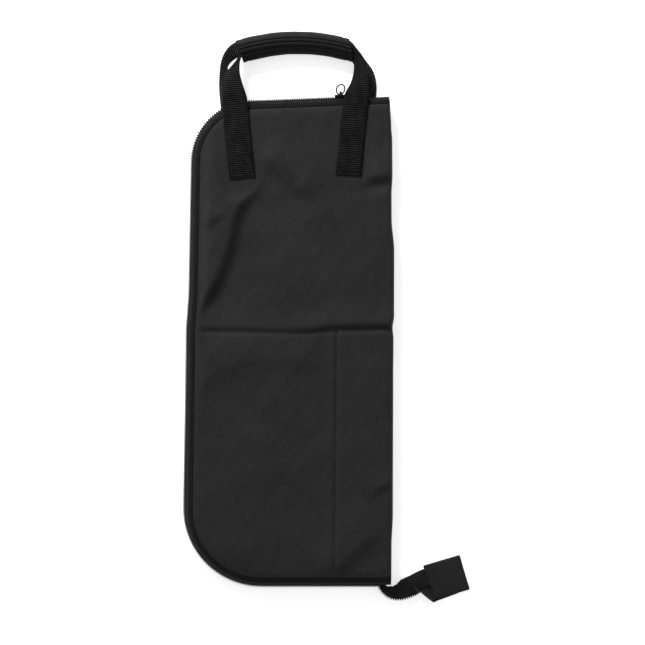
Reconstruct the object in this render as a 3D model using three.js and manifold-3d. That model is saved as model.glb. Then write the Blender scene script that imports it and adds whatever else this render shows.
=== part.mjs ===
// A zip-round folding drum stick bag, lying closed on its front cover.
// Millimetres. X runs to the right towards the spine fold, Y towards the handles, Z up.
// Two padded covers are joined by a spine strip on the right and a coil zip round the other three sides.
// Each cover carries a webbing handle, and a padded wrap holds the two handles together.
import * as THREE from 'three';
import * as BufferGeometryUtils from 'three/addons/utils/BufferGeometryUtils.js';
import Module from 'manifold-3d';

const wasm = await Module();
wasm.setup();

// ---- driving dimensions ----------------------------------------------------------------------------------
const gap = 0.3; // clearance between neighbouring pieces

// outline of the closed bag at the outermost edge of the zip, before its left corners are rounded
const topRight = new THREE.Vector2(62.5, 214.1);
const topLeft = new THREE.Vector2(-130, 206.5);
const bottomLeft = new THREE.Vector2(-139, -261.5);
const bottomRight = new THREE.Vector2(62.5, -261.5);
const topLeftRadius = 60;
const bottomLeftRadius = 75;
const cornerSteps = 9;
const zipBand = 10; // how far the zip stands out past the shell fabric
const spineX = topRight.x;

// layers of one cover, from its outer face inwards
const bagThickness = 22;
const middleZ = bagThickness / 2;
const shellThickness = 2.2;
const foamThickness = 1.4;
const liningThickness = 0.6;
const pocketRoom = 4.6;
const pocketFabric = 0.6;
const seamInset = 3; // foam and lining stop this far inside the shell's edge

// pockets sewn to the linings
const pocketMouthY = -12.5;
const seamWidth = 1.2;
const backPocketSeams = [8.5];
const frontPocketSeams = [-73, -5];
const mouthBinding = { height: 9, thickness: 0.4, endInset: 2 * seamWidth };
const beyondBag = 300; // the size of a cutting block that reaches past the bag on every side

// spine
const spineFabric = 1;
const spineFootGap = 2; // the spine strip stops short of the bottom seam
const spineLiningInset = 1;

// webbing handles
const webbingWidth = 25;
const webbingThickness = 1.4;
const gripWidth = 12; // the webbing is folded in half lengthwise inside the wrap
const gripThickness = 2.9;
const strapLeft = { foot: new THREE.Vector2(-80.6, 133.4), edge: new THREE.Vector2(-88, 207) };
const strapRight = { foot: new THREE.Vector2(21.1, 136.1), edge: new THREE.Vector2(28.9, 212.7) };
const stitchedTopY = 157.2; // above this line the webbing is free of the cover
const recessMargin = 0.6;
const edgeOverhang = 1; // the webbing lies flat until this far past the cover's edge
const gripOverrun = 0.8; // degrees that the folded webbing shows at each end of the wrap

// arched grip, an arc about this centre
const gripCentre = new THREE.Vector2(-29.3, 77.15);
const gripRadius = 188.8;
const gripZ = 9.4;
const wrapLeftAngle = 106;
const wrapRightAngle = 75.7;
const wrapSteps = 7;
const paddingInner = 7.1;
const paddingOuter = 8.3;
const coverInner = 8.6;
const coverOuter = 9.1;
const flapLap = 35; // degrees that the flap laps over the base
const lapInner = 10.8;
const lapRise = { start: 130, end: 178 }; // where the flap's fabric rises over the base
const edgeAngle = 2; // degrees left open between the flap and the base
const wallStepDegrees = 22;
const touchStripThickness = 0.4; // each half of the hook and loop fastener
const touchStripInset = { start: 4, end: 2 }; // degrees inside the overlap

// zip
const coilHeight = 2.25;
const coilNear = 7.4;
const coilChamfer = { width: 0.6, height: 0.8 };

// slider: low and high are outwards from the shell's edge, half, near and far are from the bag's middle plane
const slider = {
  x: 14.5,
  length: 12,
  outerPlate: { low: zipBand + gap, high: zipBand + 1.5, half: 4.8 },
  innerPlate: { low: 5, high: 6.2, half: 3.4 },
  post: { half: 1 },
  flange: { low: 9.1, near: 2.75, far: 4.1 },
  crown: { high: 14.8, half: 3.2, bar: 1.2, length: 2.4 },
};
const ring = { radius: 4.4, wire: 0.45, stand: 1.1 }; // its wire stands this far off the outer plate

// zip tail: the coil's line from the bottom corner of the spine to the tab
const tailLine = [
  [64.6, -265.5, 11],
  [69, -270.5, 9.5],
  [77, -272, 7.4],
  [86.5, -267.2, 4.4],
  [97.2, -260.2, 2.4],
];
const tabCentre = new THREE.Vector2(116.8, -253.8);
const tabSize = 35;
const tabPly = 0.9;
const tabThickness = 3.6;
const tabFold = 2; // solid cloth at the tab's folded end
const tapeInsideTab = 26;
const tailCoilSize = 2;
const tabTurn = THREE.MathUtils.degToRad(16.5);
const tailTapeThickness = 0.8;
const tailOpens = { start: 0.1, end: 0.92 }; // shares of the tail's length over which its fold opens

// ---- materials -------------------------------------------------------------------------------------------
const looks = {
  shell: { color: 0x25262a, roughness: 0.82, metalness: 0 },
  foam: { color: 0x4a4b4e, roughness: 0.95, metalness: 0 },
  lining: { color: 0x1d1e21, roughness: 0.7, metalness: 0 },
  pocket: { color: 0x232428, roughness: 0.8, metalness: 0 },
  binding: { color: 0x151618, roughness: 0.85, metalness: 0 },
  webbing: { color: 0x191a1c, roughness: 0.7, metalness: 0 },
  zipTape: { color: 0x17181a, roughness: 0.85, metalness: 0 },
  zipCoil: { color: 0x101113, roughness: 0.4, metalness: 0 },
  slider: { color: 0x141416, roughness: 0.35, metalness: 0.6 },
  ring: { color: 0x8d8f92, roughness: 0.25, metalness: 1 },
  hook: { color: 0x121315, roughness: 0.95, metalness: 0 },
};

const bag = new THREE.Group();

function addPiece(name, geometry, look) {
  const mesh = new THREE.Mesh(geometry, new THREE.MeshStandardMaterial(looks[look]));
  mesh.name = name;
  bag.add(mesh);
  return mesh;
}

// ---- solid helpers ---------------------------------------------------------------------------------------
function signedVolume(points, triangles) {
  let volume = 0;
  for (const [a, b, c] of triangles) {
    volume += points[a].dot(new THREE.Vector3().crossVectors(points[b], points[c])) / 6;
  }
  return volume;
}

function geometryFrom(points, triangles) {
  const outward = signedVolume(points, triangles) > 0;
  const geometry = new THREE.BufferGeometry();
  geometry.setAttribute('position', new THREE.Float32BufferAttribute(points.flatMap((p) => p.toArray()), 3));
  geometry.setIndex(triangles.flatMap(([a, b, c]) => (outward ? [a, b, c] : [a, c, b])));
  geometry.computeVertexNormals();
  return geometry;
}

// a closed solid through equal rings of points, with the section's own triangles on both ends;
// the section runs counter-clockwise
function loft(rings, section) {
  const count = section.length;
  const triangles = [];
  for (let i = 0; i + 1 < rings.length; i += 1) {
    for (let j = 0; j < count; j += 1) {
      const a = i * count + j;
      const b = i * count + ((j + 1) % count);
      triangles.push([a, b, b + count], [a, b + count, a + count]);
    }
  }
  const last = (rings.length - 1) * count;
  for (const [a, b, c] of THREE.ShapeUtils.triangulateShape(section, [])) {
    triangles.push([a, c, b], [last + a, last + b, last + c]);
  }
  return geometryFrom(rings.flat(), triangles);
}

// section points are [outward, z]; each station has a point on the line and the outward direction there
function sweepSection(stations, sectionPoints) {
  const section = sectionPoints.map(([outward, z]) => new THREE.Vector2(outward, z));
  if (THREE.ShapeUtils.isClockWise(section)) section.reverse();
  const rings = stations.map(({ point, normal }) =>
    section.map((s) => new THREE.Vector3(point.x + s.x * normal.x, point.y + s.x * normal.y, s.y)),
  );
  return loft(rings, section);
}

// a flat strip: each station has its middle, the direction across it, its face normal, width and thickness
function ribbon(stations) {
  const section = [
    new THREE.Vector2(-0.5, -0.5),
    new THREE.Vector2(0.5, -0.5),
    new THREE.Vector2(0.5, 0.5),
    new THREE.Vector2(-0.5, 0.5),
  ];
  const rings = stations.map(({ middle, across, face, width, thickness }) =>
    section.map((s) =>
      middle
        .clone()
        .addScaledVector(across, s.x * width)
        .addScaledVector(face, s.y * thickness),
    ),
  );
  return loft(rings, section);
}

function plate(outlinePoints, lowZ, highZ) {
  const shape = new THREE.Shape(outlinePoints);
  const geometry = new THREE.ExtrudeGeometry(shape, { depth: highZ - lowZ, bevelEnabled: false });
  return geometry.translate(0, 0, lowZ);
}

function box(low, high) {
  const size = high.map((h, i) => h - low[i]);
  const geometry = new THREE.BoxGeometry(...size);
  return geometry.translate(...low.map((l, i) => l + size[i] / 2));
}

function toSolid(geometry) {
  const bare = geometry.clone();
  bare.deleteAttribute('normal');
  bare.deleteAttribute('uv');
  const merged = BufferGeometryUtils.mergeVertices(bare, 1e-4);
  const mesh = new wasm.Mesh({
    numProp: 3,
    vertProperties: new Float32Array(merged.attributes.position.array),
    triVerts: new Uint32Array(merged.index.array),
  });
  return new wasm.Manifold(mesh);
}

function toGeometry(solid) {
  const mesh = solid.getMesh();
  const geometry = new THREE.BufferGeometry();
  geometry.setAttribute('position', new THREE.BufferAttribute(mesh.vertProperties, 3));
  geometry.setIndex(new THREE.BufferAttribute(mesh.triVerts, 1));
  geometry.computeVertexNormals();
  return geometry;
}

// the same solid on the other cover: mirrored through the plane halfway up the bag
function mirrored(geometry) {
  const copy = geometry.index ? geometry.clone() : BufferGeometryUtils.mergeVertices(geometry);
  copy.applyMatrix4(new THREE.Matrix4().makeScale(1, 1, -1));
  copy.translate(0, 0, bagThickness);
  // mirroring turns every triangle over, so two of its corners change places
  const order = copy.index.array;
  for (let i = 0; i < order.length; i += 3) [order[i + 1], order[i + 2]] = [order[i + 2], order[i + 1]];
  return copy;
}

// ---- the bag's outline -----------------------------------------------------------------------------------
function direction(from, to) {
  return to.clone().sub(from).normalize();
}

function outwardOf(along) {
  return new THREE.Vector2(along.y, -along.x);
}

// stations along a rounded corner: the arc's centre is the same at every offset from the outline
function cornerStations(before, corner, after, radius) {
  const first = outwardOf(direction(before, corner));
  const last = outwardOf(direction(corner, after));
  const inward = first.clone().add(last).normalize().negate();
  const halfTurn = Math.acos(first.dot(last)) / 2;
  const centre = corner.clone().addScaledVector(inward, radius / Math.cos(halfTurn));
  const start = first.angle();
  const stations = [];
  for (let i = 0; i <= cornerSteps; i += 1) {
    const angle = start + (2 * halfTurn * i) / cornerSteps;
    const normal = new THREE.Vector2(Math.cos(angle), Math.sin(angle));
    stations.push({ point: centre.clone().addScaledVector(normal, radius - zipBand), normal });
  }
  return stations;
}

const topDirection = direction(topLeft, topRight);
const topNormal = outwardOf(topDirection.clone().negate());
const bottomNormal = new THREE.Vector2(0, -1);

// a point of the shell's top edge, zipBand inside the outline, at a given x
function topEdgeAt(x) {
  const start = topLeft.clone().addScaledVector(topNormal, -zipBand);
  return start.addScaledVector(topDirection, (x - start.x) / topDirection.x);
}

// the shell's edge from the spine along the top, down the left side and back along the bottom
function edgeStations(spineGap) {
  return [
    { point: topEdgeAt(spineX - spineGap), normal: topNormal },
    ...cornerStations(topRight, topLeft, bottomLeft, topLeftRadius),
    ...cornerStations(topLeft, bottomLeft, bottomRight, bottomLeftRadius),
    { point: new THREE.Vector2(spineX - spineGap, bottomRight.y + zipBand), normal: bottomNormal },
  ];
}

function coverOutline(inset, spineGap) {
  return edgeStations(spineGap).map(({ point, normal }) => {
    const inner = point.clone().addScaledVector(normal, -inset);
    if (point.x > spineX - spineGap - gap) inner.x = point.x;
    return inner;
  });
}

// ---- covers ----------------------------------------------------------------------------------------------
const shellInnerZ = shellThickness;
const foamZ = [shellInnerZ + gap, shellInnerZ + gap + foamThickness];
const liningZ = [foamZ[1] + gap, foamZ[1] + gap + liningThickness];
const pocketZ = [liningZ[1] + gap, liningZ[1] + pocketRoom, liningZ[1] + pocketRoom + pocketFabric];

function strapCorners(strap, margin, topY) {
  const along = direction(strap.foot, strap.edge);
  const across = new THREE.Vector2(along.y, -along.x);
  const half = webbingWidth / 2 + margin;
  const foot = strap.foot.clone().addScaledVector(along, -margin);
  const top = foot.clone().addScaledVector(along, (topY - foot.y) / along.y);
  return [
    foot.clone().addScaledVector(across, -half),
    foot.clone().addScaledVector(across, half),
    top.clone().addScaledVector(across, half),
    top.clone().addScaledVector(across, -half),
  ];
}

// the padded front shell sinks round the straps it lies on
function frontShell() {
  let solid = toSolid(plate(coverOutline(0, gap), 0, shellThickness));
  for (const strap of [strapLeft, strapRight]) {
    const recess = plate(strapCorners(strap, recessMargin, topLeft.y + zipBand), -1, webbingThickness + gap);
    solid = solid.subtract(toSolid(recess));
  }
  return toGeometry(solid);
}

addPiece('front_shell', frontShell(), 'shell');
addPiece('back_shell', mirrored(plate(coverOutline(0, gap), 0, shellThickness)), 'shell');

const foam = plate(coverOutline(seamInset, seamInset), ...foamZ);
addPiece('front_foam', foam, 'foam');
addPiece('back_foam', mirrored(foam), 'foam');

const lining = plate(coverOutline(seamInset, seamInset), ...liningZ);
addPiece('front_lining', lining, 'lining');
addPiece('back_lining', mirrored(lining), 'lining');

// a pocket panel is sewn down along the bottom, both sides and its dividing seams, and open at its mouth
function pocketPanel(seams) {
  const sewnEdge = seamInset + gap;
  const innerEdge = sewnEdge + seamWidth;
  const belowMouth = toSolid(box([-beyondBag, -beyondBag, 0], [beyondBag, pocketMouthY, bagThickness]));
  const room = toSolid(plate(coverOutline(innerEdge, innerEdge), 0, pocketZ[1]));
  let panel = toSolid(plate(coverOutline(sewnEdge, sewnEdge), pocketZ[0], pocketZ[2])).intersect(belowMouth);
  const edges = [-beyondBag, ...seams, beyondBag];
  for (let i = 0; i + 1 < edges.length; i += 1) {
    const left = edges[i] + seamWidth / 2;
    const right = edges[i + 1] - seamWidth / 2;
    const column = toSolid(box([left, -beyondBag, 0], [right, 0, pocketZ[1]]));
    panel = panel.subtract(room.intersect(column));
  }
  return toGeometry(panel);
}

addPiece('front_pocket_panel', pocketPanel(frontPocketSeams), 'pocket');
addPiece('back_pocket_panel', mirrored(pocketPanel(backPocketSeams)), 'pocket');

// the binding along a pocket's mouth lies on the panel's face
function mouthTape() {
  const left = edgeStations(0)[cornerSteps + 1].point.x + seamInset + mouthBinding.endInset;
  const right = spineX - seamInset - mouthBinding.endInset;
  const faceZ = pocketZ[2] + gap;
  return box(
    [left, pocketMouthY - mouthBinding.height, faceZ],
    [right, pocketMouthY, faceZ + mouthBinding.thickness],
  );
}

addPiece('front_pocket_binding', mouthTape(), 'binding');
addPiece('back_pocket_binding', mirrored(mouthTape()), 'binding');

// ---- spine -----------------------------------------------------------------------------------------------
const spineLength = { low: bottomRight.y + zipBand + spineFootGap, high: topEdgeAt(spineX).y };
const spineZ = [shellThickness + gap, bagThickness - shellThickness - gap];

addPiece(
  'spine_panel',
  box([spineX - spineFabric, spineLength.low, spineZ[0]], [spineX, spineLength.high, spineZ[1]]),
  'shell',
);
addPiece(
  'spine_lining',
  box(
    [spineX - spineFabric - gap - liningThickness, spineLength.low + seamInset, spineZ[0] + spineLiningInset],
    [spineX - spineFabric - gap, spineLength.high - seamInset, spineZ[1] - spineLiningInset],
  ),
  'lining',
);

// ---- zip round three sides -------------------------------------------------------------------------------
const zipStations = edgeStations(spineFabric + 2 * gap);
const tapeSection = [
  [-2.5, 2.5],
  [0.5, 2.5],
  [4.5, 3.6],
  [7.4, 6.2],
  [8.6, 8.3],
  [7.8, 8.3],
  [6.6, 6.6],
  [4.1, 4.4],
  [0.4, 3.3],
  [-2.5, 3.3],
];
const coilTop = middleZ - gap / 2;
const coilSection = [
  [coilNear, coilTop - coilHeight],
  [zipBand - coilChamfer.width, coilTop - coilHeight],
  [zipBand, coilTop - coilHeight + coilChamfer.height],
  [zipBand, coilTop],
  [coilNear, coilTop],
];
const bindingSection = [
  [-2.7, 3.6],
  [-0.6, 3.6],
  [-0.2, 4.2],
  [-0.2, 5.8],
  [-0.8, 6.3],
  [-2.7, 6.3],
];

const frontTape = sweepSection(zipStations, tapeSection);
addPiece('front_zip_tape', frontTape, 'zipTape');
addPiece('back_zip_tape', mirrored(frontTape), 'zipTape');

// the coil stops under the slider, at the closed end of the zip
const coilStart = { point: topEdgeAt(slider.x - slider.post.half), normal: topNormal };
const coilStations = [coilStart, ...zipStations.slice(1)];
const frontCoil = sweepSection(coilStations, coilSection);
addPiece('front_zip_coil', frontCoil, 'zipCoil');
addPiece('back_zip_coil', mirrored(frontCoil), 'zipCoil');

const bindingStart = { point: topEdgeAt(spineX - seamInset), normal: topNormal };
const bindingStations = [bindingStart, ...zipStations.slice(1)];
const frontBinding = sweepSection(bindingStations, bindingSection);
addPiece('front_edge_binding', frontBinding, 'binding');
addPiece('back_edge_binding', mirrored(frontBinding), 'binding');

// ---- slider and ring pull --------------------------------------------------------------------------------
// local axes: x along the zip, y outwards from the shell's edge, z up from the bag's middle plane
function placeOnTopEdge(mesh) {
  const at = topEdgeAt(slider.x);
  mesh.position.set(at.x, at.y, middleZ);
  mesh.rotation.z = topDirection.angle();
  return mesh;
}

function sliderBody() {
  const { outerPlate, innerPlate, post, flange } = slider;
  const half = slider.length / 2;
  const blocks = [
    box([-half, outerPlate.low, -outerPlate.half], [half, outerPlate.high, outerPlate.half]),
    box([-half, innerPlate.low, -innerPlate.half], [half, innerPlate.high, innerPlate.half]),
    box([0, innerPlate.low, -post.half], [half, outerPlate.high, post.half]),
    box([-half, flange.low, -flange.far], [half, outerPlate.high, -flange.near]),
    box([-half, flange.low, flange.near], [half, outerPlate.high, flange.far]),
  ];
  return toGeometry(blocks.map(toSolid).reduce((body, block) => body.add(block)));
}

// a square arch on the outer plate
function sliderCrown() {
  const { high, half, bar, length } = slider.crown;
  const foot = slider.outerPlate.high + gap;
  const shape = new THREE.Shape([
    new THREE.Vector2(foot, -half),
    new THREE.Vector2(high, -half),
    new THREE.Vector2(high, half),
    new THREE.Vector2(foot, half),
    new THREE.Vector2(foot, half - bar),
    new THREE.Vector2(high - bar, half - bar),
    new THREE.Vector2(high - bar, -half + bar),
    new THREE.Vector2(foot, -half + bar),
  ]);
  const geometry = new THREE.ExtrudeGeometry(shape, { depth: length, bevelEnabled: false });
  // the shape's x is outwards and its y is z
  const turn = new THREE.Matrix4().makeBasis(
    new THREE.Vector3(0, 1, 0),
    new THREE.Vector3(0, 0, 1),
    new THREE.Vector3(1, 0, 0),
  );
  return geometry.applyMatrix4(turn).translate(-length / 2, 0, 0);
}

placeOnTopEdge(addPiece('slider_body', sliderBody(), 'slider'));
placeOnTopEdge(addPiece('slider_crown', sliderCrown(), 'slider'));

const ringY = slider.outerPlate.high + ring.stand + ring.radius;
const ringTorus = new THREE.TorusGeometry(ring.radius, ring.wire, 8, 24).translate(0, ringY, 0);
placeOnTopEdge(addPiece('pull_ring', ringTorus, 'ring'));

// ---- webbing handles -------------------------------------------------------------------------------------
const strapNames = [
  ['left', strapLeft],
  ['right', strapRight],
];
for (const [side, strap] of strapNames) {
  const corners = strapCorners(strap, 0, stitchedTopY);
  addPiece(`front_strap_${side}_end`, plate(corners, 0, webbingThickness), 'webbing');
  const backZ = bagThickness + gap;
  addPiece(`back_strap_${side}_end`, plate(corners, backZ, backZ + webbingThickness), 'webbing');
}

function onGripArc(degrees) {
  const angle = THREE.MathUtils.degToRad(degrees);
  return new THREE.Vector2(Math.cos(angle), Math.sin(angle)).multiplyScalar(gripRadius).add(gripCentre);
}

// one leg of a handle: [x, y, share of the way from the cover to the grip]
function legPoints(strap, waypoints, turnPoint, arcAngle) {
  const along = direction(strap.foot, strap.edge);
  const free = stitchedTopY + gap * 2;
  const start = strap.foot.clone().addScaledVector(along, (free - strap.foot.y) / along.y);
  const edgeY = topEdgeAt(strap.edge.x).y + edgeOverhang;
  const overEdge = strap.foot.clone().addScaledVector(along, (edgeY - strap.foot.y) / along.y);
  const points = [[start.x, start.y, 0], [overEdge.x, overEdge.y, 0]];
  points.push(...waypoints);
  const last = waypoints[waypoints.length - 1];
  const end = onGripArc(arcAngle);
  const bend = new THREE.QuadraticBezierCurve(new THREE.Vector2(last[0], last[1]), turnPoint, end);
  for (const t of [0.25, 0.5, 0.75, 1]) {
    const p = bend.getPoint(t);
    points.push([p.x, p.y, 1]);
  }
  return points;
}

function handleLoop(coverZ, ownGripZ) {
  const left = legPoints(
    strapLeft,
    [[-90.4, 224, 0.4], [-91.8, 234, 0.72], [-92.6, 244, 1]],
    new THREE.Vector2(-93.5, 254.8),
    wrapLeftAngle + gripOverrun,
  );
  const right = legPoints(
    strapRight,
    [[30.6, 224, 0.4], [31.6, 235, 0.72], [32, 246, 1]],
    new THREE.Vector2(32.6, 256.4),
    wrapRightAngle - gripOverrun,
  );
  const points = [...left];
  for (let i = 1; i < wrapSteps; i += 1) {
    const p = onGripArc(THREE.MathUtils.lerp(wrapLeftAngle, wrapRightAngle, i / wrapSteps));
    points.push([p.x, p.y, 1]);
  }
  points.push(...right.reverse());
  const middles = points.map(([x, y, share]) => {
    const z = THREE.MathUtils.lerp(coverZ, ownGripZ, share);
    return new THREE.Vector3(x, y, z);
  });
  const face = new THREE.Vector3(0, 0, 1);
  const stations = middles.map((middle, i) => {
    const before = middles[Math.max(i - 1, 0)];
    const after = middles[Math.min(i + 1, middles.length - 1)];
    const along = new THREE.Vector3(after.x - before.x, after.y - before.y, 0).normalize();
    const across = new THREE.Vector3().crossVectors(face, along);
    const share = points[i][2];
    return {
      middle,
      across,
      face,
      width: THREE.MathUtils.lerp(webbingWidth, gripWidth, share),
      thickness: THREE.MathUtils.lerp(webbingThickness, gripThickness, share),
    };
  });
  return ribbon(stations);
}

const layerInGrip = (gripThickness + gap) / 2;
addPiece('front_handle_webbing', handleLoop(webbingThickness / 2, gripZ - layerInGrip), 'webbing');
addPiece(
  'back_handle_webbing',
  handleLoop(bagThickness + gap + webbingThickness / 2, gripZ + layerInGrip),
  'webbing',
);

// ---- padded wrap round the grip --------------------------------------------------------------------------
const wrapStations = [];
for (let i = 0; i <= wrapSteps; i += 1) {
  const angle = THREE.MathUtils.lerp(wrapLeftAngle, wrapRightAngle, i / wrapSteps);
  const radians = THREE.MathUtils.degToRad(angle);
  const normal = new THREE.Vector2(Math.cos(radians), Math.sin(radians));
  wrapStations.push({ point: onGripArc(angle), normal });
}

// a curved wall about the grip's axis; 0 degrees is away from the bag and 90 is up
function wallSection(startDegrees, endDegrees, innerAt, thickness) {
  const steps = Math.max(3, Math.round((endDegrees - startDegrees) / wallStepDegrees));
  const inside = [];
  const outside = [];
  for (let i = 0; i <= steps; i += 1) {
    const degrees = THREE.MathUtils.lerp(startDegrees, endDegrees, i / steps);
    const angle = THREE.MathUtils.degToRad(degrees);
    const inner = innerAt(degrees);
    inside.push([inner * Math.cos(angle), gripZ + inner * Math.sin(angle)]);
    outside.push([(inner + thickness) * Math.cos(angle), gripZ + (inner + thickness) * Math.sin(angle)]);
  }
  return [...outside, ...inside.reverse()];
}

const round = (radius) => () => radius;
const coverFabric = coverOuter - coverInner;
const padding = paddingOuter - paddingInner;
const hookInner = lapInner - gap - touchStripThickness;

// the flap's fabric rises over the base from straight up to the start of its lap
function flapInner(degrees) {
  const raised = THREE.MathUtils.smoothstep(degrees, lapRise.start, lapRise.end);
  return THREE.MathUtils.lerp(coverInner, lapInner, raised);
}

const baseAngles = [180 + edgeAngle, 360 - edgeAngle];
const flapAngles = [edgeAngle, 180 + flapLap];
const stripAngles = [180 + edgeAngle + touchStripInset.start, 180 + flapLap - touchStripInset.end];

const wrapWalls = [
  ['wrap_base_cover', wallSection(...baseAngles, round(coverInner), coverFabric), 'shell'],
  ['wrap_base_padding', wallSection(...baseAngles, round(paddingInner), padding), 'foam'],
  ['wrap_loop_strip', wallSection(...stripAngles, round(coverOuter + gap), touchStripThickness), 'hook'],
  ['wrap_flap_cover', wallSection(...flapAngles, flapInner, coverFabric), 'shell'],
  ['wrap_flap_padding', wallSection(edgeAngle, 180 - edgeAngle, round(paddingInner), padding), 'foam'],
  ['wrap_hook_strip', wallSection(...stripAngles, round(hookInner), touchStripThickness), 'hook'],
];
for (const [name, section, look] of wrapWalls) addPiece(name, sweepSection(wrapStations, section), look);

// ---- zip tail --------------------------------------------------------------------------------------------
// The zip leaves the bottom corner folded along its coil. On its way to the tab the fold opens, and the upper
// tape turns over, so that both tapes lie flat inside the tab.
const tabAlong = new THREE.Vector3(Math.cos(tabTurn), Math.sin(tabTurn), 0);
const tailTapeStart = 1.5; // from the coil's line to a tape's near edge
const foldOffset = 0.6;
const firstTapeWidth = 11.5;
const lastTapeWidth = 13.2;
const foldedHalfAngle = THREE.MathUtils.degToRad(3);

const tailPoints = tailLine.map((p) => new THREE.Vector3(...p));
const insideTab = tailPoints[tailPoints.length - 1].clone().addScaledVector(tabAlong, tapeInsideTab);
const tailCurve = new THREE.CatmullRomCurve3(tailPoints);
const tailSteps = 12;

function tailFrames() {
  const frames = [];
  for (let i = 0; i <= tailSteps; i += 1) {
    const share = i / tailSteps;
    const along = tailCurve.getTangentAt(share);
    const flat = new THREE.Vector3(along.x, along.y, 0).normalize();
    frames.push({ at: tailCurve.getPointAt(share), flat, share });
  }
  frames.push({ at: insideTab, flat: tabAlong, share: 1 });
  return frames;
}

function tailTape(upper) {
  const stations = tailFrames().map(({ at, flat, share }) => {
    const inwards = new THREE.Vector3(-flat.y, flat.x, 0);
    const opened = THREE.MathUtils.smoothstep(share, tailOpens.start, tailOpens.end);
    const turn = (opened * Math.PI) / 2;
    const half = THREE.MathUtils.lerp(foldedHalfAngle, Math.PI / 2, opened);
    const sign = upper ? 1 : -1;
    const angle = turn + sign * half;
    const across = inwards.clone().multiplyScalar(Math.cos(angle));
    across.z += Math.sin(angle);
    const faceAngle = angle + (sign * Math.PI) / 2;
    const face = inwards.clone().multiplyScalar(Math.cos(faceAngle));
    face.z += Math.sin(faceAngle);
    const width = THREE.MathUtils.lerp(firstTapeWidth, lastTapeWidth, share);
    const middle = at
      .clone()
      .addScaledVector(across, tailTapeStart + width / 2)
      .addScaledVector(face, foldOffset);
    return { middle, across, face, width, thickness: tailTapeThickness };
  });
  return ribbon(stations);
}

function tailCoil() {
  const stations = tailFrames()
    .slice(0, -2)
    .map(({ at, flat }) => ({
      middle: at,
      across: new THREE.Vector3(-flat.y, flat.x, 0),
      face: new THREE.Vector3(0, 0, 1),
      width: tailCoilSize,
      thickness: tailCoilSize,
    }));
  return ribbon(stations);
}

addPiece('tail_upper_tape', tailTape(true), 'zipTape');
addPiece('tail_lower_tape', tailTape(false), 'zipTape');
addPiece('tail_coil', tailCoil(), 'zipCoil');

// the tab is one piece of shell fabric folded over the end of the zip
function tailTab() {
  const half = tabSize / 2;
  const folded = box([-half, -half, 0], [half, half, tabThickness]);
  const slot = box([-tabSize, -tabSize, tabPly], [half - tabFold, tabSize, tabThickness - tabPly]);
  return toGeometry(toSolid(folded).subtract(toSolid(slot)));
}

const tab = addPiece('tail_tab', tailTab(), 'shell');
tab.position.set(tabCentre.x, tabCentre.y, 0);
tab.rotation.z = tabTurn;

// ---- frame -----------------------------------------------------------------------------------------------
// the origin is the middle of the whole outline, on the surface that the bag lies on
const extent = new THREE.Box3().setFromObject(bag, true);
const middle = extent.getCenter(new THREE.Vector3());
bag.position.set(-middle.x, -middle.y, -extent.min.z);
bag.updateMatrixWorld(true);

export default bag;
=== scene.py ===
"""A zip-round folding drum stick bag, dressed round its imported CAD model.

Shapes are worked out in millimetres in the CAD source's own axes: X towards the spine fold, Y towards the
handles, Z up. row() turns them into metres in the shared frame. The bag lies closed on its front cover,
with the back cover up.
"""

import math

import bpy
import numpy as np
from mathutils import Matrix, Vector
from mathutils.geometry import delaunay_2d_cdt


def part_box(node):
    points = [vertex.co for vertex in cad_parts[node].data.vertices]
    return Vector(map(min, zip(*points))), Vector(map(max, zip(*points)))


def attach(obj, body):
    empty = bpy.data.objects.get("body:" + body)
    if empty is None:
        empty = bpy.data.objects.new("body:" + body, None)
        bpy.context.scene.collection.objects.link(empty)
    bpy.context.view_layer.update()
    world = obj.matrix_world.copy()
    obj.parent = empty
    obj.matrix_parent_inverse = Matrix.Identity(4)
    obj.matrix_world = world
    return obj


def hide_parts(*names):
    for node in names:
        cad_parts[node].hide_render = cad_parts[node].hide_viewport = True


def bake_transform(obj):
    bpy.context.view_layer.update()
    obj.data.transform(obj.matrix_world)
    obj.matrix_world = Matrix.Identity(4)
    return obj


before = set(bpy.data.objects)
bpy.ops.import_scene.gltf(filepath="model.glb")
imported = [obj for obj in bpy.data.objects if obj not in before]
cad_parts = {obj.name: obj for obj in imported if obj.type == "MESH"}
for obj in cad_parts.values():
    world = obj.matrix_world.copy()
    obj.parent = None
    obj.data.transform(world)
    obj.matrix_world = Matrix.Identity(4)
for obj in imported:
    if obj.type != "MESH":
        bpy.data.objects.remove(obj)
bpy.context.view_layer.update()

# ---- driving dimensions, in millimetres unless said otherwise ------------------------------------------
MM = 0.001
TINY = 1e-9

# outline of the closed bag at the outermost edge of the zip
SPINE_X = 62.5
TOP_RIGHT_Y = 214.1
TOP_LEFT = (-130.0, 206.5)
BOTTOM_LEFT = (-139.0, -261.5)
TOP_LEFT_RADIUS = 60.0
BOTTOM_LEFT_RADIUS = 75.0
ZIP_BAND = 10.0
SHELL_BOTTOM_Y = BOTTOM_LEFT[1] + ZIP_BAND

# heights, for the back cover; the front cover is its mirror image through MIDDLE_Z
BAG_THICKNESS = 22.0
MIDDLE_Z = BAG_THICKNESS / 2
SHELL_SEAM_Z = 20.9
SHELL_INNER_Z = 19.9
FOAM_Z = (18.15, 19.45)
LINING_Z = (17.25, 17.8)
POCKET_DEPTH = 4.6
POCKET_FABRIC = 0.6
ROLL_WIDTH = 6.0
SPINE_SKIN_WIDTH = 8.0
SKIN_THICKNESS = 0.7
SKIN_SQUARENESS = 0.5
SEAM_INSET = 3.0

# pockets
POCKET_MOUTH_Y = -12.5
POCKET_SEAMS = {"back": (8.5,), "front": (-73.0, -5.0)}

# the spine's own lining
SPINE_LINING_X = 60.0
SPINE_LINING_Z = (3.6, 18.4)
SPINE_LINING_THICKNESS = 0.5

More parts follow.
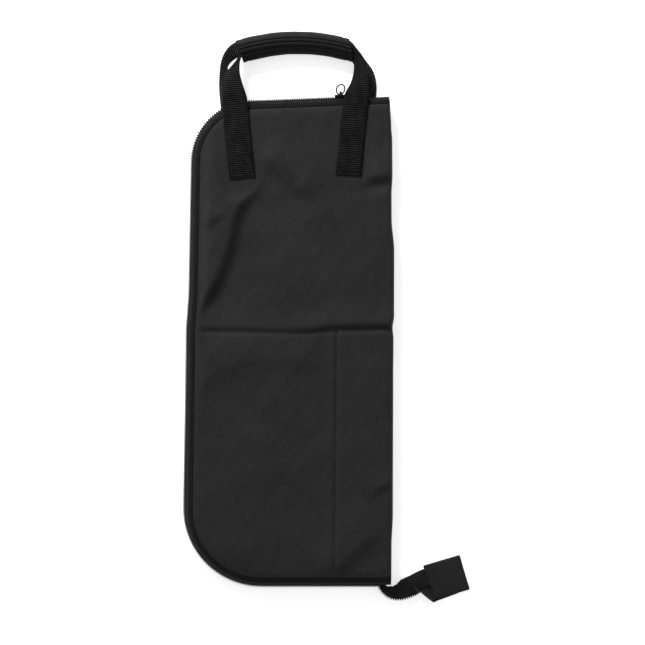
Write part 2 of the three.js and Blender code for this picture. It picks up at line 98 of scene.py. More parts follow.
# sewing
STITCH_ARCH = (-1.0, 0.55, 1.0, 0.55, -1.0)  # rise of a stitch along its length, in about half thread widths
STITCH_SINK = 0.08
THREAD_LOOK = 1  # the thread is the second material of every sewn piece

# webbing
WEBBING_WIDTH = 25.0
WEBBING_THICKNESS = 1.4
RIB_PITCH = 2.1
RIB_HEIGHT = 0.5
RIB_THREAD = 1.1
HANDLE_HINGE_Y = 157.5

# padded wrap round the grip, about an arc
GRIP_CENTRE = (-29.3, 77.15)
GRIP_RADIUS = 188.8
GRIP_Z = 9.4
WRAP_LEFT_ANGLE = 107.0
WRAP_RIGHT_ANGLE = 73.5

# zip
COIL_PITCH = 2.2
COIL_WIRE = 0.45
SLIDER_X = 14.5
RING_RADIUS = 4.4  # of the CAD's round ring; it sets the middle of the oval one
RING_GAP = 2.6
RING_WIRE = 0.72
RING_HALF_AXES = (3.9, 5.0)
RING_LEAN = math.radians(24)

# zip tail and its tab
TAIL_LINE = (
    (50.8, -258.9, 11.2),
    (54.2, -265.4, 11.0),
    (59.6, -270.3, 10.4),
    (66.8, -272.9, 8.8),
    (74.0, -272.7, 7.2),
    (80.6, -270.8, 5.6),
    (87.2, -268.6, 4.2),
    (97.2, -262.4, 2.6),
    (122.0, -253.4, 2.1),
)
TAB_CENTRE = (116.8, -253.8)
TAB_SIZE = (37.4, 35.8)
TAB_THICKNESS = 3.6
TAB_TURN = math.radians(16.5)

shift = np.array(
    [
        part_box("spine_panel")[1].x / MM - SPINE_X,
        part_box("back_shell")[0].y / MM - SHELL_BOTTOM_Y,
        0.0,
    ]
)


# ---- small numeric helpers -----------------------------------------------------------------------------
def lengths_along(line):
    """Length from a line's first point to each of its points."""
    steps = np.linalg.norm(np.diff(line, axis=0), axis=1)
    return np.concatenate([[0.0], np.cumsum(steps)])


def smooth(share):
    share = np.clip(share, 0.0, 1.0)
    return share * share * (3 - 2 * share)


def knots(values, table):
    """A smooth curve through (place, value) pairs, level before the first and after the last."""
    places, heights = np.array(table, float).T
    index = np.clip(np.searchsorted(places, values) - 1, 0, len(places) - 2)
    share = (values - places[index]) / (places[index + 1] - places[index])
    return heights[index] + (heights[index + 1] - heights[index]) * smooth(share)


def resample(points, spacing, reach=0.0):
    """Even points along a line; with a reach, its corners are rounded off by averaging over that length.

    The first three columns are the line's places; any others are carried along with them.
    """
    points = np.asarray(points, float)
    along = lengths_along(points[:, :3])
    count = max(2, int(round(along[-1] / spacing)) + 1)
    at = np.linspace(0.0, along[-1], count)
    line = np.stack([np.interp(at, along, column) for column in points.T], axis=1)
    half = min(int(reach / spacing), count - 1)
    if half < 1:
        return line
    before = 2 * line[0] - line[half:0:-1]
    after = 2 * line[-1] - line[-2 : -half - 2 : -1]
    longer = np.concatenate([before, line, after])
    kernel = np.hanning(2 * half + 3)[1:-1]
    kernel /= kernel.sum()
    return np.stack([np.convolve(column, kernel, "valid") for column in longer.T], axis=1)


def unit(vectors):
    return vectors / np.maximum(np.linalg.norm(vectors, axis=-1, keepdims=True), TINY)


def tangents(line):
    return unit(np.gradient(line, axis=0))


def distance_to(points, line):
    """For each 2D point: distance to a line, share of the line's length at the nearest place, and side."""
    best = np.full(len(points), np.inf)
    share = np.zeros(len(points))
    side = np.ones(len(points))
    start = lengths_along(line)
    lengths = np.diff(start)
    for i, (a, b) in enumerate(zip(line[:-1], line[1:])):
        along = (b - a) / max(lengths[i], TINY)
        across = points - a
        reached = np.clip(across @ along, 0.0, lengths[i])
        gap = np.linalg.norm(across - reached[:, None] * along, axis=1)
        nearer = gap < best
        best[nearer] = gap[nearer]
        share[nearer] = (start[i] + reached[nearer]) / start[-1]
        side[nearer] = np.sign(along[0] * across[nearer, 1] - along[1] * across[nearer, 0])
    return best, share, side


def wander(values, pitch, seed):
    """Slow, repeatable waviness between about -1 and 1."""
    phase = seed * 1.7
    slow = 0.6 * np.sin(values / pitch * 2 * math.pi + phase)
    quick = 0.4 * np.sin(values / pitch * 3.7 * math.pi + 2.3 * phase)
    return slow + quick


# ---- outline of the covers -----------------------------------------------------------------------------
ARC_STEP = 1.5  # degrees


def corner_arc(before, corner, after, radius):
    """Points on the shell's rounded corner, with the outward direction at each."""
    first = unit(np.subtract(corner, before))
    last = unit(np.subtract(after, corner))
    normal_in = np.array([first[1], -first[0]])
    normal_out = np.array([last[1], -last[0]])
    half = math.acos(np.clip(normal_in @ normal_out, -1, 1)) / 2
    inward = -unit(normal_in + normal_out)
    centre = np.array(corner) + inward * radius / math.cos(half)
    start = math.atan2(normal_in[1], normal_in[0])
    crossed = normal_in[0] * normal_out[1] - normal_in[1] * normal_out[0]
    turn = math.atan2(crossed, normal_in @ normal_out)
    count = int(abs(math.degrees(turn)) / ARC_STEP) + 1
    angles = start + np.linspace(0, turn, count)
    normals = np.stack([np.cos(angles), np.sin(angles)], axis=1)
    return centre + normals * (radius - ZIP_BAND), normals


top_right = (SPINE_X, TOP_RIGHT_Y)
bottom_right = (SPINE_X, BOTTOM_LEFT[1])
top_along = unit(np.subtract(top_right, TOP_LEFT))
top_normal = np.array([-top_along[1], top_along[0]])
bottom_normal = np.array([0.0, -1.0])


def top_edge(x):
    """A point of the shell's top edge, ZIP_BAND inside the outline."""
    start = np.array(TOP_LEFT) - top_normal * ZIP_BAND
    return start + top_along * (x - start[0]) / top_along[0]


def outline_line():
    """The shell's edge from the spine along the top, down the left side and back along the bottom."""
    left_points, left_normals = corner_arc(top_right, TOP_LEFT, BOTTOM_LEFT, TOP_LEFT_RADIUS)
    foot_points, foot_normals = corner_arc(TOP_LEFT, BOTTOM_LEFT, bottom_right, BOTTOM_LEFT_RADIUS)
    points = np.vstack([[top_edge(SPINE_X)], left_points, foot_points, [(SPINE_X, SHELL_BOTTOM_Y)]])
    normals = np.vstack([[top_normal], left_normals, foot_normals, [bottom_normal]])
    return resample(np.hstack([points, np.zeros((len(points), 1)), normals]), 1.0)


edge_rows = outline_line()
edge_length_along = lengths_along(edge_rows[:, :2])
EDGE_LENGTH = edge_length_along[-1]


def edge_at(along):
    """Points of the shell's edge at these lengths from the spine's top end, and its outward directions."""
    columns = [np.interp(along, edge_length_along, edge_rows[:, k]) for k in (0, 1, 3, 4)]
    return np.stack(columns[:2], axis=-1), unit(np.stack(columns[2:], axis=-1))


def edge_length_at_top(x):
    return (SPINE_X - x) / top_along[0]


# how far the real, soft outline strays from the straight one, between two fades given as (Y, length)
STRAY_FOOT = (-272.0, 10.0)
STRAY_TOP = (232.0, 16.0)
LEFT_SIDE_STRAY = (
    (-262, 0),
    (-200, -0.8),
    (-100, -1.1),
    (-40, -1.5),
    (-12, -1.8),
    (6, -0.8),
    (22, 0),
    (215, 0),
)
SPINE_STRAY = (
    (-262, 0.3),
    (-222, 0.5),
    (-190, 1.8),
    (-60, 2.1),
    (-22, 2.4),
    (-11, 1.5),
    (0, 3.0),
    (62, 3.1),
    (95, 0.6),
    (118, 0.5),
    (136, 1.4),
    (168, 1.2),
    (184, 0.2),
    (204, -0.9),
    (215, -1.2),
)


def stray(points):
    """The same points, moved sideways as the soft covers are."""
    points = np.array(points, float)
    x, y = points[:, 0], points[:, 1]
    left = np.interp(y, (BOTTOM_LEFT[1], TOP_LEFT[1]), (BOTTOM_LEFT[0], TOP_LEFT[0]))
    share = np.clip((x - left) / (SPINE_X - left), 0, 1)
    body = smooth((y - STRAY_FOOT[0]) / STRAY_FOOT[1]) * smooth((STRAY_TOP[0] - y) / STRAY_TOP[1])
    moved = knots(y, LEFT_SIDE_STRAY) * (1 - share) ** 2 + knots(y, SPINE_STRAY) * share**3
    points[:, 0] = x + moved * body
    return points


def row(points, strays=True):
    """Millimetres in the CAD source's axes to metres in the shared frame."""
    points = stray(points) if strays else np.asarray(points, float)
    return (points + shift) * MM


# ---- mesh helpers --------------------------------------------------------------------------------------
class Patch:
    """Points, faces and cloth coordinates that become one mesh."""

    def __init__(self):
        self.points = []
        self.faces = []
        self.cloth = []
        self.looks = []
        self.count = 0

    def add(self, points, faces, cloth=None, look=0):
        """Adds a part that wears the piece's material number look. Its points stand in for missing cloth."""
        points = np.asarray(points, float)
        cloth = points if cloth is None else np.asarray(cloth, float)
        self.points.append(points)
        self.cloth.append(cloth)
        self.faces.extend([tuple(i + self.count for i in face) for face in faces])
        self.looks.extend([look] * len(faces))
        self.count += len(points)
        return self

    def piece(self, name, *materials, side="back", strays=True):
        """The mesh as an object; a front cover's piece is drawn as the back's and mirrored here."""
        points = np.vstack(self.points)
        faces = self.faces
        if side == "front":
            points[:, 2] = BAG_THICKNESS - points[:, 2]
            faces = flipped(faces)
        data = bpy.data.meshes.new(name)
        data.from_pydata(row(points, strays).tolist(), [], faces)
        for material in materials:
            data.materials.append(material)
        data.polygons.foreach_set("material_index", self.looks)
        attribute = data.attributes.new("cloth", "FLOAT_VECTOR", "POINT")
        attribute.data.foreach_set("vector", np.vstack(self.cloth).astype(np.float32).ravel())
        data.shade_smooth()
        data.update()
        made = bpy.data.objects.new(name, data)
        bpy.context.scene.collection.objects.link(made)
        return made


def flipped(faces):
    return [tuple(reversed(face)) for face in faces]


def grid_faces(rows, columns, wrap=False):
    faces = []
    across = columns if wrap else columns - 1
    for i in range(rows - 1):
        for j in range(across):
            a = i * columns + j
            b = i * columns + (j + 1) % columns
            faces.append((a, b, b + columns, a + columns))
    return faces


def cloth_on(rings, along, across, third=0.0):
    """Cloth coordinates for rings: one length along the cloth for each ring, one across it for each point."""
    cloth = np.zeros_like(rings)
    cloth[:, :, 0] = along[:, None]
    cloth[:, :, 1] = across
    cloth[:, :, 2] = third
    return cloth.reshape(-1, 3)


def turned_in(rings):
    """True if the faces round these rings would point inwards."""
    middle = rings.mean(axis=1)
    i = len(rings) // 2
    along = rings[min(i + 1, len(rings) - 1)].mean(0) - middle[i - 1]
    first = rings[i, 0] - middle[i]
    second = rings[i, 1] - middle[i]
    third = rings[i, len(rings[i]) // 3] - middle[i]
    return np.dot(np.cross(first, second) + np.cross(second, third), along) < 0


def swept(patch, rings, look=0, cloth=None):
    """Adds a solid with faces round and along equal rings and a cap on each end."""
    count, around = rings.shape[:2]
    faces = grid_faces(count, around, wrap=True)
    faces.append(tuple(range(around - 1, -1, -1)))
    faces.append(tuple((count - 1) * around + j for j in range(around)))
    if turned_in(rings):
        faces = flipped(faces)
    return patch.add(rings.reshape(-1, 3), faces, cloth, look)


def rounded_tube(line, radius, around):
    """Rings of a round tube along a line."""
    along = tangents(line)
    reference = np.tile([0.0, 0.0, 1.0], (len(line), 1))
    steep = np.abs(along[:, 2]) > 0.9
    reference[steep] = (1.0, 0.0, 0.0)
    first = unit(np.cross(along, reference))
    second = np.cross(along, first)
    angles = np.linspace(0, 2 * math.pi, around, endpoint=False)[None, :, None]
    ring = np.cos(angles) * first[:, None] + np.sin(angles) * second[:, None]
    return line[:, None] + ring * radius


def stitch_run(patch, line, normals, pitch=3.2, length=2.4, thread=0.34):
    """One small arched thread for each stitch along a line that lies on cloth."""
    line = np.asarray(line, float)
    normals = np.broadcast_to(np.asarray(normals, float), line.shape)
    rows = resample(np.hstack([line, normals]), 0.4)
    total = (len(rows) - 1) * np.linalg.norm(rows[1, :3] - rows[0, :3])
    steps = np.linspace(0, total, len(rows))
    arch = np.array(STITCH_ARCH) * thread * 0.55 - STITCH_SINK
    for k in range(int(total / pitch)):
        at = k * pitch + np.linspace(0.0, length, len(arch)) + (pitch - length) / 2
        middle = np.stack([np.interp(at, steps, column) for column in rows.T], axis=1)
        arched = middle[:, :3] + unit(middle[:, 3:]) * arch[:, None]
        swept(patch, rounded_tube(arched, thread / 2 * 1.1, 5), look=THREAD_LOOK)


def inside(points, loop):
    x, y = points[:, 0], points[:, 1]
    result = np.zeros(len(points), bool)
    for a, b in zip(loop, np.roll(loop, -1, axis=0)):
        crosses = (a[1] > y) != (b[1] > y)
        if a[1] != b[1]:
            result ^= crosses & (x < (b[0] - a[0]) * (y - a[1]) / (b[1] - a[1]) + a[0])
    return result


def mesh_inside(loop, spacing, insets, lines=()):
    """2D points and triangles that fill a loop: rings inside its edge, extra lines and a staggered grid."""
    loop = np.asarray(loop, float)
    closed = np.vstack([loop, loop[:1]])
    forward = unit(np.roll(loop, -1, axis=0) - loop)
    backward = unit(loop - np.roll(loop, 1, axis=0))
    normal = unit(np.stack([-(forward + backward)[:, 1], (forward + backward)[:, 0]], axis=1))
    if not inside(loop[:1] + normal[:1] * 0.5, loop)[0]:
        normal = -normal
    corner = np.clip((forward * backward).sum(1), -1, 1)
    reach = 1 / np.sqrt(np.maximum((1 + corner) / 2, 0.3))

    def clear_inside(places, least):
        gap, _, _ = distance_to(places, closed)
        return inside(places, loop) & (gap > least)

    points = [loop]
    for inset in insets:
        ring = loop + normal * (inset * reach)[:, None]
        points.append(ring[clear_inside(ring, inset * 0.9)])
    for line in lines:
        points.append(line[clear_inside(line, spacing * 0.3)])
    low, high = loop.min(0), loop.max(0)
    grid = []
    for i, y in enumerate(np.arange(low[1], high[1], spacing * 0.866)):
        xs = np.arange(low[0] + (i % 2) * spacing / 2, high[0], spacing)
        grid.append(np.stack([xs, np.full(len(xs), y)], axis=1))
    grid = np.vstack(grid)
    keep = clear_inside(grid, max(insets) + spacing * 0.6)
    for line in lines:
        near, _, _ = distance_to(grid, line)
        keep &= near > spacing * 0.55
    points.append(grid[keep])
    count = len(loop)
    edges = [(i, (i + 1) % count) for i in range(count)]
    out = delaunay_2d_cdt([Vector(p) for p in np.vstack(points)], edges, [], 1, 1e-5)
    return np.array([tuple(v) for v in out[0]]), [tuple(face) for face in out[2]]


def slab(patch, flat, faces, low, high):
    """A closed thin solid on a 2D mesh, between two height arrays."""
    count = len(flat)
    a, b, c = (flat[[face[k] for face in faces]] for k in range(3))
    area = ((b - a)[:, 0] * (c - a)[:, 1] - (b - a)[:, 1] * (c - a)[:, 0]).sum()
    if area < 0:
        faces = flipped(faces)
    rim = {}
    for face in faces:
        for i, j in zip(face, face[1:] + face[:1]):
            if (j, i) in rim:
                del rim[(j, i)]
            else:
                rim[(i, j)] = True
    walls = [(j, i, i + count, j + count) for i, j in rim]
    under = flipped([tuple(i + count for i in face) for face in faces])
    points = np.vstack([np.column_stack([flat, high]), np.column_stack([flat, low])])
    return patch.add(points, faces + under + walls)


# ---- node materials ------------------------------------------------------------------------------------
GREY_TINT = (0.98, 0.99, 1.05)


class Look:
    """A material's node tree, with short calls for the nodes that the cloths share."""

    def __init__(self, name, roughness=0.8, metallic=0.0, sheen=0.0, specular=0.5):
        self.material = bpy.data.materials.new(name)
        self.material.use_nodes = True
        self.tree = self.material.node_tree
        self.shader = self.tree.nodes["Principled BSDF"]
        self.shader.inputs["Roughness"].default_value = roughness
        self.shader.inputs["Metallic"].default_value = metallic
        self.shader.inputs["Sheen Weight"].default_value = sheen
        self.shader.inputs["Sheen Roughness"].default_value = 0.45
        self.shader.inputs["Specular IOR Level"].default_value = specular

    def node(self, kind, **settings):
        made = self.tree.nodes.new(kind)
        for key, value in settings.items():
            setattr(made, key, value)
        return made

    def link(self, source, target):
        self.tree.links.new(source, target)

    def feed(self, socket, value):
        if hasattr(value, "is_output"):
            self.link(value, socket)
        else:
            socket.default_value = value

    def math(self, operation, first, second=0.0, third=None):
        made = self.node("ShaderNodeMath", operation=operation)
        self.feed(made.inputs[0], first)
        self.feed(made.inputs[1], second)
        if third is not None:
            self.feed(made.inputs[2], third)
        return made.outputs[0]

    def centred(self, value):
        return self.math("SUBTRACT", value, 0.5)

    def wave(self, value, pitch):
        """A sine along a coordinate, with this many millimetres to a full turn."""
        return self.math("SINE", self.math("MULTIPLY", value, 2 * math.pi / pitch))

    def cloth(self):
        """Cloth coordinates in millimetres: along the cloth, across it, and the third axis."""
        made = self.node("ShaderNodeAttribute", attribute_name="cloth")
        split = self.node("ShaderNodeSeparateXYZ")
        self.link(made.outputs["Vector"], split.inputs[0])
        return made.outputs["Vector"], split.outputs

    def place(self):
        return self.node("ShaderNodeTexCoord").outputs["Object"]

    def noise(self, vector, stretch=None, scale=1.0, detail=3.0):
        """Noise at a scale; with a stretch, the coordinates are multiplied by it first."""
        if stretch:
            stretched = self.node("ShaderNodeVectorMath", operation="MULTIPLY")
            self.link(vector, stretched.inputs[0])
            stretched.inputs[1].default_value = stretch
            vector = stretched.outputs[0]
        made = self.node("ShaderNodeTexNoise")
        self.link(vector, made.inputs["Vector"])
        made.inputs["Scale"].default_value = scale
        made.inputs["Detail"].default_value = detail
        return made.outputs["Fac"]

    def cells(self, feature, scale):
        """Distances in a cell pattern laid on the cloth."""
        made = self.node("ShaderNodeTexVoronoi", feature=feature)
        self.link(self.cloth()[0], made.inputs["Vector"])
        made.inputs["Scale"].default_value = scale
        return made.outputs["Distance"]

    def colour(self, value, stops):
        """Base colour from a ramp of (place, colour) pairs."""
        made = self.node("ShaderNodeValToRGB")
        self.link(value, made.inputs[0])
        elements = made.color_ramp.elements
        while len(elements) < len(stops):
            elements.new(0.5)
        for element, (place, colour) in zip(elements, stops):
            element.position = place
            element.color = (*colour, 1.0)
        self.link(made.outputs["Color"], self.shader.inputs["Base Color"])

    def greys(self, value, *stops):
        """Base colour from a ramp of (place, level) pairs of near-black, slightly cool greys."""
        self.colour(value, [(place, [level * tint for tint in GREY_TINT]) for place, level in stops])

    def rough(self, value, low, high):
        made = self.node("ShaderNodeMapRange")
        self.link(value, made.inputs["Value"])
        made.inputs["To Min"].default_value = low
        made.inputs["To Max"].default_value = high
        self.link(made.outputs["Result"], self.shader.inputs["Roughness"])

    def bump(self, height, distance):
        """Relief of this many millimetres."""
        made = self.node("ShaderNodeBump")
        made.inputs["Strength"].default_value = 1.0
        made.inputs["Distance"].default_value = distance * MM
        self.link(height, made.inputs["Height"])
        self.link(made.outputs["Normal"], self.shader.inputs["Normal"])


def woven(name, dark, light, thread, roughness=(0.72, 0.9), depth=0.16, fleck=1.0):
    """Plain-weave cloth: crossing threads, uneven yarns and slow variation in tone."""
    look = Look(name, sheen=0.02, specular=0.17)
    vector, axis = look.cloth()
    pitch = math.pi / thread
    warp = look.math("SINE", look.math("MULTIPLY", axis[0], pitch))
    weft = look.math("SINE", look.math("MULTIPLY", axis[1], pitch))
    crossing = look.math("MULTIPLY", warp, weft)
    yarn_x = look.noise(vector, (0.12 / thread, 1.1 / thread, 0.3), detail=2.0)
    yarn_y = look.noise(vector, (1.1 / thread, 0.12 / thread, 0.3), detail=2.0)
    yarns = look.math("ADD", yarn_x, yarn_y)
    slow = look.noise(vector, (0.03, 0.03, 0.03))
    tone = look.math("MULTIPLY_ADD", yarns, 0.42 * fleck, look.math("MULTIPLY", slow, 0.35))
    tone = look.math("MULTIPLY_ADD", crossing, 0.07, tone)
    look.greys(tone, (0.28, dark), (0.58, (dark + light) / 2), (0.86, light))
    look.rough(yarns, roughness[1], roughness[0])
    look.bump(look.math("MULTIPLY_ADD", crossing, 0.5, yarns), depth)
    return look.material


def taped(name, dark, light, rib, slant=0.0, contrast=0.12):
    """Narrow tape: fine ribs across its length, slanted for a twill."""
    look = Look(name, sheen=0.02, specular=0.14)
    vector, axis = look.cloth()
    ribs = look.wave(look.math("MULTIPLY_ADD", axis[1], slant, axis[0]), rib)
    edge = look.wave(axis[1], rib * 0.9)
    weave = look.math("MULTIPLY_ADD", edge, 0.35, ribs)
    fuzz = look.noise(vector, (1.6, 1.6, 1.6), detail=4.0)
    look.greys(look.math("MULTIPLY_ADD", weave, contrast, fuzz), (0.3, dark), (0.75, light))
    look.rough(fuzz, 0.9, 0.7)
    look.bump(look.math("MULTIPLY_ADD", fuzz, 0.5, weave), 0.14)
    return look.material


def webbing_look(name, groove, middle, crest):
    """Heavy ribbed webbing: each rib stands out by painted shade in its groove and painted light on its
    crest, and its edge threads run lengthwise.
    """
    look = Look(name, specular=0.07)
    vector, axis = look.cloth()
    rib = look.math("ABSOLUTE", look.math("COSINE", look.math("MULTIPLY", axis[0], math.pi / RIB_PITCH)))
    pick = look.wave(axis[1], RIB_THREAD)
    fuzz = look.noise(vector, (0.9, 1.8, 1.0), detail=4.0)
    slow = look.noise(vector, (0.06, 0.12, 0.1), detail=2.0)
    tone = look.math("MULTIPLY_ADD", pick, 0.05, rib)
    tone = look.math("MULTIPLY_ADD", look.centred(fuzz), 0.5, tone)
    tone = look.math("MULTIPLY_ADD", look.centred(slow), 0.5, tone)
    # groove, middle and crest are levels of painted shade in each rib's groove and painted light on its crest
    look.greys(tone, (0.5, groove), (0.8, middle), (1.02, crest))
    look.rough(fuzz, 0.75, 0.55)
    look.bump(look.math("MULTIPLY_ADD", pick, 0.3, fuzz), 0.12)
    return look.material


def foam_look():
    look = Look("foam_cells", roughness=0.95, specular=0.2)
    cells = look.cells("DISTANCE_TO_EDGE", 1.4)
    look.greys(cells, (0.0, 0.03), (0.25, 0.085))
    look.bump(cells, 0.5)
    return look.material


def touch_look(name, level, scale, depth):
    """Half of a hook and loop fastener."""
    look = Look(name, roughness=0.85, sheen=0.2, specular=0.3)
    tufts = look.cells("F1", scale)
    look.greys(tufts, (0.0, level * 1.8), (0.6, level * 0.6))
    look.bump(look.math("SUBTRACT", 1.0, tufts), depth)
    return look.material


def hard_look(name, metallic, specular, grain, detail, tones, roughness, depth):
    """Nylon, enamel or plated wire, all with a fine grain; tones are (place, level) pairs."""
    look = Look(name, metallic=metallic, specular=specular)
    fine = look.noise(look.place(), scale=grain, detail=detail)
    look.greys(fine, *tones)
    look.rough(fine, *roughness)
    look.bump(fine, depth)
    return look.material


def thread_look(name, dark, light):
    look = Look(name, roughness=0.55, sheen=0.02, specular=0.2)
    vector, axis = look.cloth()
    twist = look.math("ADD", axis[0], look.math("ADD", axis[1], axis[2]))
    look.greys(look.noise(vector, (2.0, 2.0, 2.0)), (0.3, dark), (0.7, light))
    look.bump(look.wave(twist, 0.35), 0.04)
    return look.material


def floor_look():
    look = Look("studio_floor", roughness=0.9, specular=0.1)
    paper = look.noise(look.place(), scale=6.0, detail=4.0)
    look.colour(paper, ((0.0, (0.93, 0.93, 0.93)), (1.0, (0.96, 0.96, 0.96))))
    look.shader.inputs["Emission Color"].default_value = (1, 1, 1, 1)
    look.shader.inputs["Emission Strength"].default_value = TABLE_GLOW
    return look.material


shell_cloth = woven("shell_600d", 0.0034, 0.0174, 0.7, fleck=1.35)
# the wrap is the shell's 600D painted darker: painted shade for its curved faces
wrap_cloth_painted_shade = woven("wrap_600d_painted_shade", 0.0008, 0.0062, 0.7, fleck=1.3)
tab_cloth = woven("tab_600d", 0.0006, 0.0125, 0.85, fleck=1.7)
lining_cloth = woven("lining_nylon", 0.007, 0.015, 0.3, roughness=(0.5, 0.7), depth=0.06, fleck=0.6)
pocket_cloth = woven("pocket_polyester", 0.009, 0.022, 0.45, depth=0.12)
zip_cloth = taped("zip_tape_twill", 0.0004, 0.0076, 2.1, slant=0.3, contrast=0.3)
tail_cloth = taped("tail_tape_twill", 0.003, 0.0165, 2.1, slant=0.5, contrast=0.2)
binding_cloth = taped("binding_grosgrain", 0.004, 0.011, 0.9)
back_webbing = webbing_look("webbing_back", 0.0, 0.0008, 0.021)
# the front handle's webbing is the back's webbing painted much lighter: painted light on slivers that lie in
# the back strap's shade
front_webbing_painted_light = webbing_look("webbing_front_painted_light", 0.002, 0.03, 0.09)
coil_nylon = hard_look(
    "coil_nylon", 0.0, 0.22, 900.0, 3.0, ((0.3, 0.003), (0.7, 0.009)), (0.34, 0.52), 0.05
)
slider_enamel = hard_look(
    "slider_enamel", 0.1, 0.2, 700.0, 4.0, ((0.4, 0.0025), (0.66, 0.006), (0.74, 0.03)), (0.42, 0.6), 0.04
)
ring_nickel = hard_look(
    "ring_nickel", 0.3, 0.2, 1100.0, 4.0, ((0.3, 0.004), (0.7, 0.011)), (0.4, 0.6), 0.02
)
sewing_thread = thread_look("sewing_thread", 0.001, 0.0034)
zip_thread = thread_look("zip_thread", 0.004, 0.013)
foam_cells = foam_look()
hook_nylon = touch_look("fastener_hooks", 0.012, 1.3, 0.5)
loop_nylon = touch_look("fastener_loops", 0.02, 2.2, 0.35)


# ---- relief of the covers ------------------------------------------------------------------------------
# (crest line, rise, reach of the shaded slope on the line's right, reach of the slope on its left)
# a negative rise is a soft trough, with its steep side on the line's left
BACK_FOLDS = (
    (((-142, -2), (-123, 13), (-110, 32), (-98.5, 60), (-91, 92), (-82.5, 116), (-62, 137)), 5.6, 7.6, 40.0),
    (((-128, -12), (-112, 6), (-98, 27), (-86.5, 57), (-79, 88), (-71, 110), (-52, 126)), -2.1, 34.0, 9.0),
    (((-70, 166), (-59, 155), (-42, 139), (-24, 122), (-8, 110)), 2.6, 7.0, 22.0),
    (((-64, 154), (-52, 144), (-35, 128), (-17, 111), (-4, 100)), -1.1, 26.0, 8.0),
    (((-122, 83), (-112, 92), (-98, 105)), 2.0, 5.0, 14.0),
    (((2, 146), (30, 136), (48, 135), (90, 142)), 3.8, 7.0, 18.0),
    (((-180, -9.0), (-60, -11.6), (-22, -12.6), (10, -8.8), (110, -7.4)), 1.0, 3.2, 16.0),
    (((-34, -12.4), (-16, -12.2), (10, -8.2), (110, -6.6)), 1.2, 4.2, 12.0),
    (((-134, -84), (-124, -68), (-103, -49), (-79, -39), (-54, -38), (2, -45)), 1.8, 10.0, 26.0),
    (((34, -176), (44, -167), (54, -160), (80, -164)), 2.4, 4.6, 12.0),
    (((-6, -258), (11, -238), (26, -222), (42, -208), (54, -200)), 4.4, 9.5, 30.0),
    (((40, 190), (39, 136)), 1.1, 4.5, 12.0),
    (((60, 206), (58.5, 140)), 0.8, 2.4, 4.0),
    (((-54, -100), (-88, -170), (-78, -252)), 1.8, 24.0, 34.0),
    (((-12, 76), (-46, 52), (-64, 24)), 1.0, 14.0, 26.0),
    (((-108, 176), (-124, 120), (-127, 70)), 1.0, 6.0, 14.0),
    (((-2, 134), (36, 124), (78, 132)), -1.8, 6.5, 6.5),
    (((-180, -13.0), (-60, -15.4), (-22, -16.4), (10, -13.0), (110, -11.6)), -1.4, 2.6, 2.6),
    (((-20, -14.4), (10, -11.4), (110, -10.6)), -0.5, 2.8, 2.8),
)
FOLD_ROUNDING = 12.0
FOLD_END_FADE = 26.0
CREASE_LINE = ((-139, -12.6), (-60, -13.6), (-22, -14.6), (10, -11.0), (66, -10.0))
SEAM_LINE = ((9.6, -14.3), (9.0, -80), (8.2, -170), (7.6, -250.5))
BACK_STRAP_PATHS = (((-80.6, 133.4), (-88.0, 207.0)), ((21.1, 136.1), (28.9, 212.7)))
FRONT_STRAP_PATHS = (
    ((-80.6, 133.4), (-85.6, 183), (-89.0, 207), (-91, 216)),
    ((21.1, 136.1), (24.5, 160), (31.0, 188), (36.5, 212)),
)
STRAP_CLEARANCE = 13.2
STRAP_FADE = 14.0


def fold(points, path, rise, shaded, lit):
    """A crest along a line, steep on the line's right-hand side."""
    line = resample(path, 3.0, FOLD_ROUNDING)
    gap, share, side = distance_to(points, line)
    reach = np.where(side < 0, shaded, lit)
    length = lengths_along(line)[-1]
    fade = smooth(np.minimum(share, 1 - share) * length / min(FOLD_END_FADE, length * 0.4))
    return rise * np.exp(-((gap / reach) ** 2)) * fade


def clear_of_straps(points):
    """0 under the webbing sewn to the back cover, 1 well away from it."""
    clear = np.ones(len(points))
    for path in BACK_STRAP_PATHS:
        gap, _, _ = distance_to(points, np.array(path, float))
        clear = np.minimum(clear, smooth((gap - STRAP_CLEARANCE) / STRAP_FADE))
    return clear


def back_relief(points):
    """How far the back cover's face stands above its flat height."""
    x, y = points[:, 0], points[:, 1]
    height = 0.3 * wander(x + 0.4 * y, 83.0, 1)
    height += 0.25 * wander(y - 0.3 * x, 61.0, 2)
    height += 0.12 * wander(x - 0.7 * y, 27.0, 8)
    for path, rise, shaded, lit in BACK_FOLDS:
        height += fold(points, path, rise, shaded, lit)
    gap, _, _ = distance_to(points, np.array(SEAM_LINE, float))
    sewn = smooth((-12 - y) / 3)
    height -= 1.4 * np.exp(-((gap / 1.1) ** 2)) * sewn
    height += 0.3 * np.exp(-(((gap - 5) / 4) ** 2)) * sewn
    return height * clear_of_straps(points)


def zip_inset(points):
    """How far inside the shell's zipped edge each 2D point lies."""
    gap, _, _ = distance_to(points, edge_rows[::2, :2])
    return gap


def rolled(inset):
    """Height of a cover's face before its folds: level, but rolled down to the zip's seam."""
    roll = np.sin(np.clip(inset / ROLL_WIDTH, 0, 1) * math.pi / 2)
    return SHELL_SEAM_Z + (BAG_THICKNESS - SHELL_SEAM_Z) * roll


def back_face(points):
    """Height of the back cover's outer face."""
    inset = zip_inset(points)
    pucker = 0.16 * wander(points[:, 0] * 0.8 + points[:, 1], 9.0, 3) * np.exp(-((inset / 5.0) ** 2))
    return rolled(inset) + back_relief(points) * smooth(inset / 11.0) + pucker


def strap_dip(points):
    """How far the front cover sinks round the straps that it lies on."""
    depth = np.zeros(len(points))
    for path in FRONT_STRAP_PATHS:
        gap, _, _ = distance_to(points, np.array(path, float))
        depth = np.maximum(depth, 1.75 * (1 - smooth((gap - WEBBING_WIDTH / 2 - 0.8) / 4.0)))
    return depth


